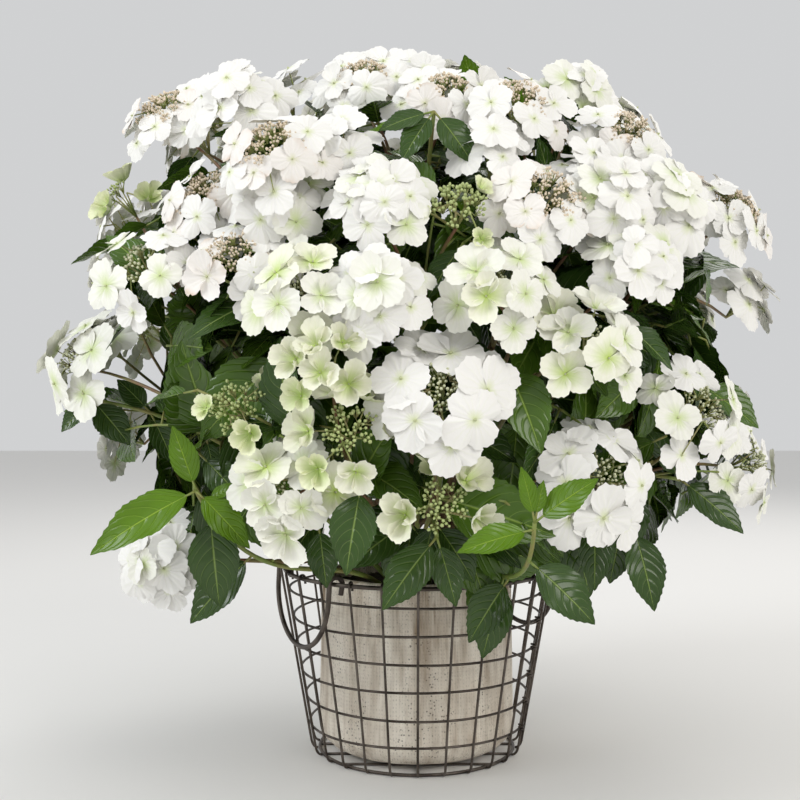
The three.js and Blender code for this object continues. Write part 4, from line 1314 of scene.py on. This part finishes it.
def floret_spots(form, count, draw):
    """Shares and angles: spread over the whole dome by the golden angle, or where the middle is
    open set round it by even steps, every other one further in."""
    index = np.arange(count)
    start = draw.uniform(0, 2 * math.pi)
    if "turns" in form:
        share, angle = np.full(count, form["inner"]), np.radians(form["turns"])
    elif form["inner"]:
        share = form["inner"] + (1 - form["inner"]) * np.where(index % 2, 1.0, 0.45)
        angle = start + (index + draw.normal(0, 0.16, count)) * 2 * math.pi / count
    else:
        share = np.sqrt((index + 0.35) / count)
        angle = start + index * GOLDEN_ANGLE
    return share, angle


def bud_spots(place, facing, form, reach, draw):
    """Clusters of buds over a head's open middle, each a small disc of beads on one fork."""
    clusters = form["clusters"]
    index = np.arange(clusters)
    share = form["buds_to"] * np.sqrt((index + 0.5) / clusters)
    sunk = place - form.get("sink", BUD_SINK) * facing
    centre, axis = dome_points(sunk, facing, share, index * GOLDEN_ANGLE, reach)
    beads = form.get("beads", BUDS_IN_CLUSTER)
    bead = np.arange(beads)
    wide = CLUSTER_RADIUS * np.sqrt((bead + 0.5) / beads)
    turn = bead * GOLDEN_ANGLE + draw.uniform(0, 2 * math.pi, (clusters, 1))
    level = perpendicular(axis)[:, None]
    upward = np.cross(axis[:, None], level)
    spots = centre[:, None] + wide[:, None] * between(level, upward, turn[..., None])
    repeats = bead % BUDS_IN_CLUSTER
    spots = spots + axis[:, None] * draw.normal(0, 0.0011, (clusters, BUDS_IN_CLUSTER, 1))[:, repeats]
    forks = centre - CLUSTER_STALK * axis
    facings = unit(spots - forks[:, None])
    size = BUD_SIZE * form["bead"] * draw.uniform(0.75, 1.2, (clusters, BUDS_IN_CLUSTER))[:, repeats]
    return forks, spots.reshape(-1, 3), facings.reshape(-1, 3), size.reshape(-1)


def branch_points(place, facing, reach):
    """Where a head's stalk divides again: a few points round its axis, below the florets."""
    turn = np.arange(BRANCHES) * 2 * math.pi / BRANCHES
    points, _ = dome_points(place, facing, np.full(BRANCHES, 0.28), turn, reach)
    return points - BRANCH_DEPTH * facing


def grow_heads(draw):
    """Florets, buds and the rays that carry them, each with its kind of head and its side."""
    florets = {key: [] for key in ("at", "axis", "size", "cup", "kind", "side")}
    buds = {key: [] for key in ("at", "axis", "size", "kind", "side")}
    rays = {key: [] for key in ("start", "end", "side", "thick")}

    def add(group, kind, side, **columns):
        for key, value in columns.items():
            group[key].append(value)
        count = len(value)
        if kind:
            group["kind"].append(np.full(count, kind))
        group["side"].append(np.full(count, side))

    def add_rays(side, start, end, part):
        add(rays, None, side, start=start, end=end, thick=np.full(len(end), RAY_SIZES[part]))

    for place, facing, kind, mass in zip(HEAD_PLACES, HEAD_FACINGS, HEAD_KIND, HEAD_MASS):
        side = SIDE_OF_MASS[mass]
        form = HEAD_KINDS[kind]
        count = form["florets"]
        reach = HEAD_REACH * form["reach"]
        hub = place - HUB_DEPTH * facing
        share, angle = floret_spots(form, count, draw)
        at, axis = dome_points(place, facing, share, angle, reach)
        at = at + facing * draw.normal(0, 0.0022, (count, 1))
        outward = FLORET_TURN * facing[2] * unit(place * np.array([1, 1, 0]))
        if side == "near":
            outward = outward + TO_LIGHT
        axis = unit(axis + outward + draw.normal(0, 0.17, (count, 3)))
        size = form["size"] * LARGE_FLORETS.get(MASSES[mass]["name"], 1.0)
        add(florets, kind, side, at=at, axis=axis, cup=draw.uniform(*form["cup"], count),
            size=size * draw.uniform(0.88, 1.10, count))
        branches = branch_points(place, facing, reach)
        add_rays(side, np.tile(hub, (BRANCHES, 1)), branches, "branch")
        add_rays(side, nearest_of(branches, at), at, "floret")
        if form["clusters"]:
            forks, spots, facings, size = bud_spots(place, facing, form, reach, draw)
            add(buds, kind, side, at=spots, axis=facings, size=size)
            add_rays(side, nearest_of(branches, forks), forks, "cluster")
            add_rays(side, np.repeat(forks, len(spots) // len(forks), axis=0), spots, "bud")
    return [{key: np.concatenate(value) for key, value in group.items()} for group in (florets, buds, rays)]


def sepal_grids(florets, chosen, draw):
    """Four sepals to a floret, each over the next. In a sepal's own frame a point lies at distance
    u times the length, less 0.6 v to a power near 2.6, and at angle v times the spread. The outer
    edge has fine teeth. The sepal cups as u squared, tips about its midline, and its edge ripples."""
    u = np.array([0.04, 0.42, 0.80, 1.0])[None, :, None]
    v = np.linspace(-1, 1, SEPAL_COLUMNS)[None, None, :]
    teeth = 0.022 * np.where(np.arange(SEPAL_COLUMNS) % 2, 1.0, -1.0)[None, None, :]
    at, axis = florets["at"][chosen], florets["axis"][chosen]
    count = len(at)
    spin = draw.uniform(0, 2 * math.pi, (count, 1))
    level = perpendicular(axis)
    upward = np.cross(axis, level)
    grids = []
    for k in range(4):
        turn = spin + k * math.pi / 2 + draw.normal(0, 0.09, (count, 1))
        out = between(level, upward, turn)
        length = SEPAL_LENGTH * florets["size"][chosen] * draw.uniform(0.86, 1.10, count)
        phase = draw.uniform(0, 2 * math.pi, (count, 1, 1))
        skew = draw.uniform(-0.06, 0.06, (count, 1, 1))
        round_off = draw.uniform(2.0, 3.2, (count, 1, 1))
        scallop = 1 + (0.026 * np.cos(4.2 * math.pi * v + phase) + teeth) * u ** 6
        reach = u * (1 - 0.60 * np.abs(v) ** round_off + skew * v) * scallop
        angle = v * SEPAL_SPREAD
        x = reach * np.cos(angle)
        y = reach * np.sin(angle)
        cup = (florets["cup"][chosen] + draw.normal(0, 0.07, count)).reshape(-1, 1, 1)
        tip = draw.normal(0.055, 0.02, (count, 1, 1))
        ripple = (0.036 * np.sin(6.0 * v + phase) + 0.016 * np.sin(14.0 * v - phase)) * u ** 3
        curl = draw.uniform(-0.10, 0.06, (count, 1, 1)) * v * v * u
        z = cup * u * u + tip * y + ripple + curl
        grids.append(placed(x, y, z, at, out, axis, length))
    return np.concatenate(grids)


def bead_paths(at, axis, size):
    """Short paths and radii that a tube swells along to a round bud."""
    share = np.array([-1.0, -0.75, -0.1, 0.6, 1.0])
    paths = at[:, None] + axis[:, None] * (size[:, None] * share)[..., None]
    return paths, size[:, None] * np.array([0.30, 0.72, 1.0, 0.72, 0.25])


def make_blossom(draw):
    florets, buds, rays = grow_heads(draw)
    tint = draw.integers(0, 3, len(florets["at"]))
    for side in SIDES:
        here = florets["side"] == side
        petals = Surface("florets_" + side)
        for kind, form in HEAD_KINDS.items():
            for shade, finish in enumerate(form["sepals"]):
                chosen = here & (florets["kind"] == kind) & (tint == shade)
                if chosen.any():
                    petals.sheets(sepal_grids(florets, chosen, draw), finish)
        petals.build("planter")
        centres = Surface("buds_" + side)
        at, axis, size = florets["at"][here], florets["axis"][here], florets["size"][here]
        centres.tubes(*bead_paths(at + 0.0008 * axis, axis, EYE_SIZE * size), 6, EYE)
        for kind, form in HEAD_KINDS.items():
            if form["clusters"]:
                chosen = (buds["side"] == side) & (buds["kind"] == kind)
                beads = bead_paths(buds["at"][chosen], buds["axis"][chosen], buds["size"][chosen])
                centres.tubes(*beads, 5, form["tone"])
        centres.build("planter")
    return rays


def make_crown():
    """Twigs, leaves and blossom of the whole crown; each mass's node is replaced by the leaves
    of its side."""
    draw = np.random.default_rng(SEED + 2)
    stems, stalks, stalk_mass, shoots, shoot_mass = grow_twigs()
    front = [front_shoot_leaves(shoot) for shoot in FRONT_SHOOTS]
    shown = np.concatenate([part["root"] + part["out"] * part["length"][:, None] / 2 for part, _ in front])
    leaves = grow_leaves(stalks, stalk_mass, shoots, shoot_mass, shown, draw)
    rays = make_blossom(draw)
    leafy = np.isin(np.arange(len(shoots)), leaves["twig"][leaves["order"] <= 1])
    tone = draw.uniform(0, 1, len(leaves["at"]))
    lime = (leaves["order"] == 0) & (tone > 0.80)
    green = ~lime & (tone > 0.45)
    for side in SIDES:
        here = SIDE_OF_MASS[leaves["mass"]] == side
        foliage = Surface("leaves_" + side)
        twigs = Surface("twigs_" + side)
        for tinted, finish in ((lime, LEAF_LIME), (green, LEAF_GREEN), (~lime & ~green, LEAF_DARK)):
            add_leaves(foliage, twigs, leaves, here & tinted, finish, draw)
        if side == "near":
            for part, path in front:
                add_leaves(foliage, twigs, part, part["tender"], LEAF_LIME, draw)
                add_leaves(foliage, twigs, part, ~part["tender"], LEAF_DARK, draw)
                twigs.tubes(path, np.linspace(0.0024, 0.0015, path.shape[1]), 8, GREEN_STEM)
        mine = SIDE_OF_MASS == side
        twigs.tubes(stems[mine], np.linspace(*STEM_RADII, stems.shape[1]), 8, RED_STEM)
        borne = SIDE_OF_MASS[stalk_mass] == side
        twigs.tubes(stalks[borne], np.linspace(*STALK_RADII, stalks.shape[1]), 7, RED_STEM)
        grown = leafy & (SIDE_OF_MASS[shoot_mass] == side)
        twigs.tubes(shoots[grown], np.linspace(*SHOOT_RADII, shoots.shape[1]), 6, GREEN_STEM)
        chosen = rays["side"] == side
        start, end = rays["start"][chosen], rays["end"][chosen]
        thick = rays["thick"][chosen][:, None] * np.linspace(*RAY_RADII, 3)
        share = np.linspace(0, 1, 3)[:, None]
        twigs.tubes(start[:, None] + (end - start)[:, None] * share, thick, 4, RAY)
        twigs.build("planter")
        nodes = ["foliage_" + mass["name"] for mass, where in zip(MASSES, SIDE_OF_MASS) if where == side]
        foliage.build("planter", nodes)


# Stage


def make_stage():
    finish = Finish("floor")
    pale = finish.surface({"Base Color": rgb(0.78, 0.77, 0.75), "Roughness": 0.8})
    mesh = bpy.data.meshes.new("floor")
    corners = [(-6, -6, 0), (6, -6, 0), (6, 6, 0), (-6, 6, 0)]
    mesh.from_pydata(corners, [], [(0, 1, 2, 3)])
    mesh.materials.append(pale)
    add_object("floor", mesh)


def add_light(name, place, target, size, power, colour):
    lamp = bpy.data.lights.new(name, "AREA")
    lamp.energy = power
    lamp.size = size
    lamp.color = colour
    aim = np.asarray(target, float) - np.asarray(place, float)
    light = add_object(name, lamp, place)
    light.rotation_euler = Vector(aim).to_track_quat("-Z", "Y").to_euler()


def make_light():
    scene = bpy.context.scene
    world = bpy.data.worlds.new("studio")
    world.use_nodes = True
    background = world.node_tree.nodes["Background"].inputs
    background["Color"].default_value = (0.93, 0.94, 0.95, 1.0)
    background["Strength"].default_value = 0.68
    scene.world = world
    add_light("key", (1.5, -1.9, 1.75), (0, 0, 0.35), 1.3, 26, (1.0, 0.97, 0.92))
    add_light("fill", (-1.8, -0.8, 1.5), (0, 0, 0.35), 1.0, 22, (0.95, 0.98, 1.0))
    add_light("back", (0.9, 1.6, 2.0), (0, 0, 0.4), 1.4, 18, (1.0, 0.98, 0.95))
    scene.view_settings.view_transform = "Standard"


def make_camera():
    lens = bpy.data.cameras.new("camera")
    lens.lens = CAMERA_LENS
    lens.sensor_width = 36.0
    camera = add_object("camera", lens, CAMERA_PLACE)
    camera.rotation_euler = (math.pi / 2, 0, 0)
    bpy.context.scene.camera = camera


make_camera()
make_stage()
make_light()
make_basket()
make_handles()
make_pot()
make_compost()
make_limbs()
make_crown()
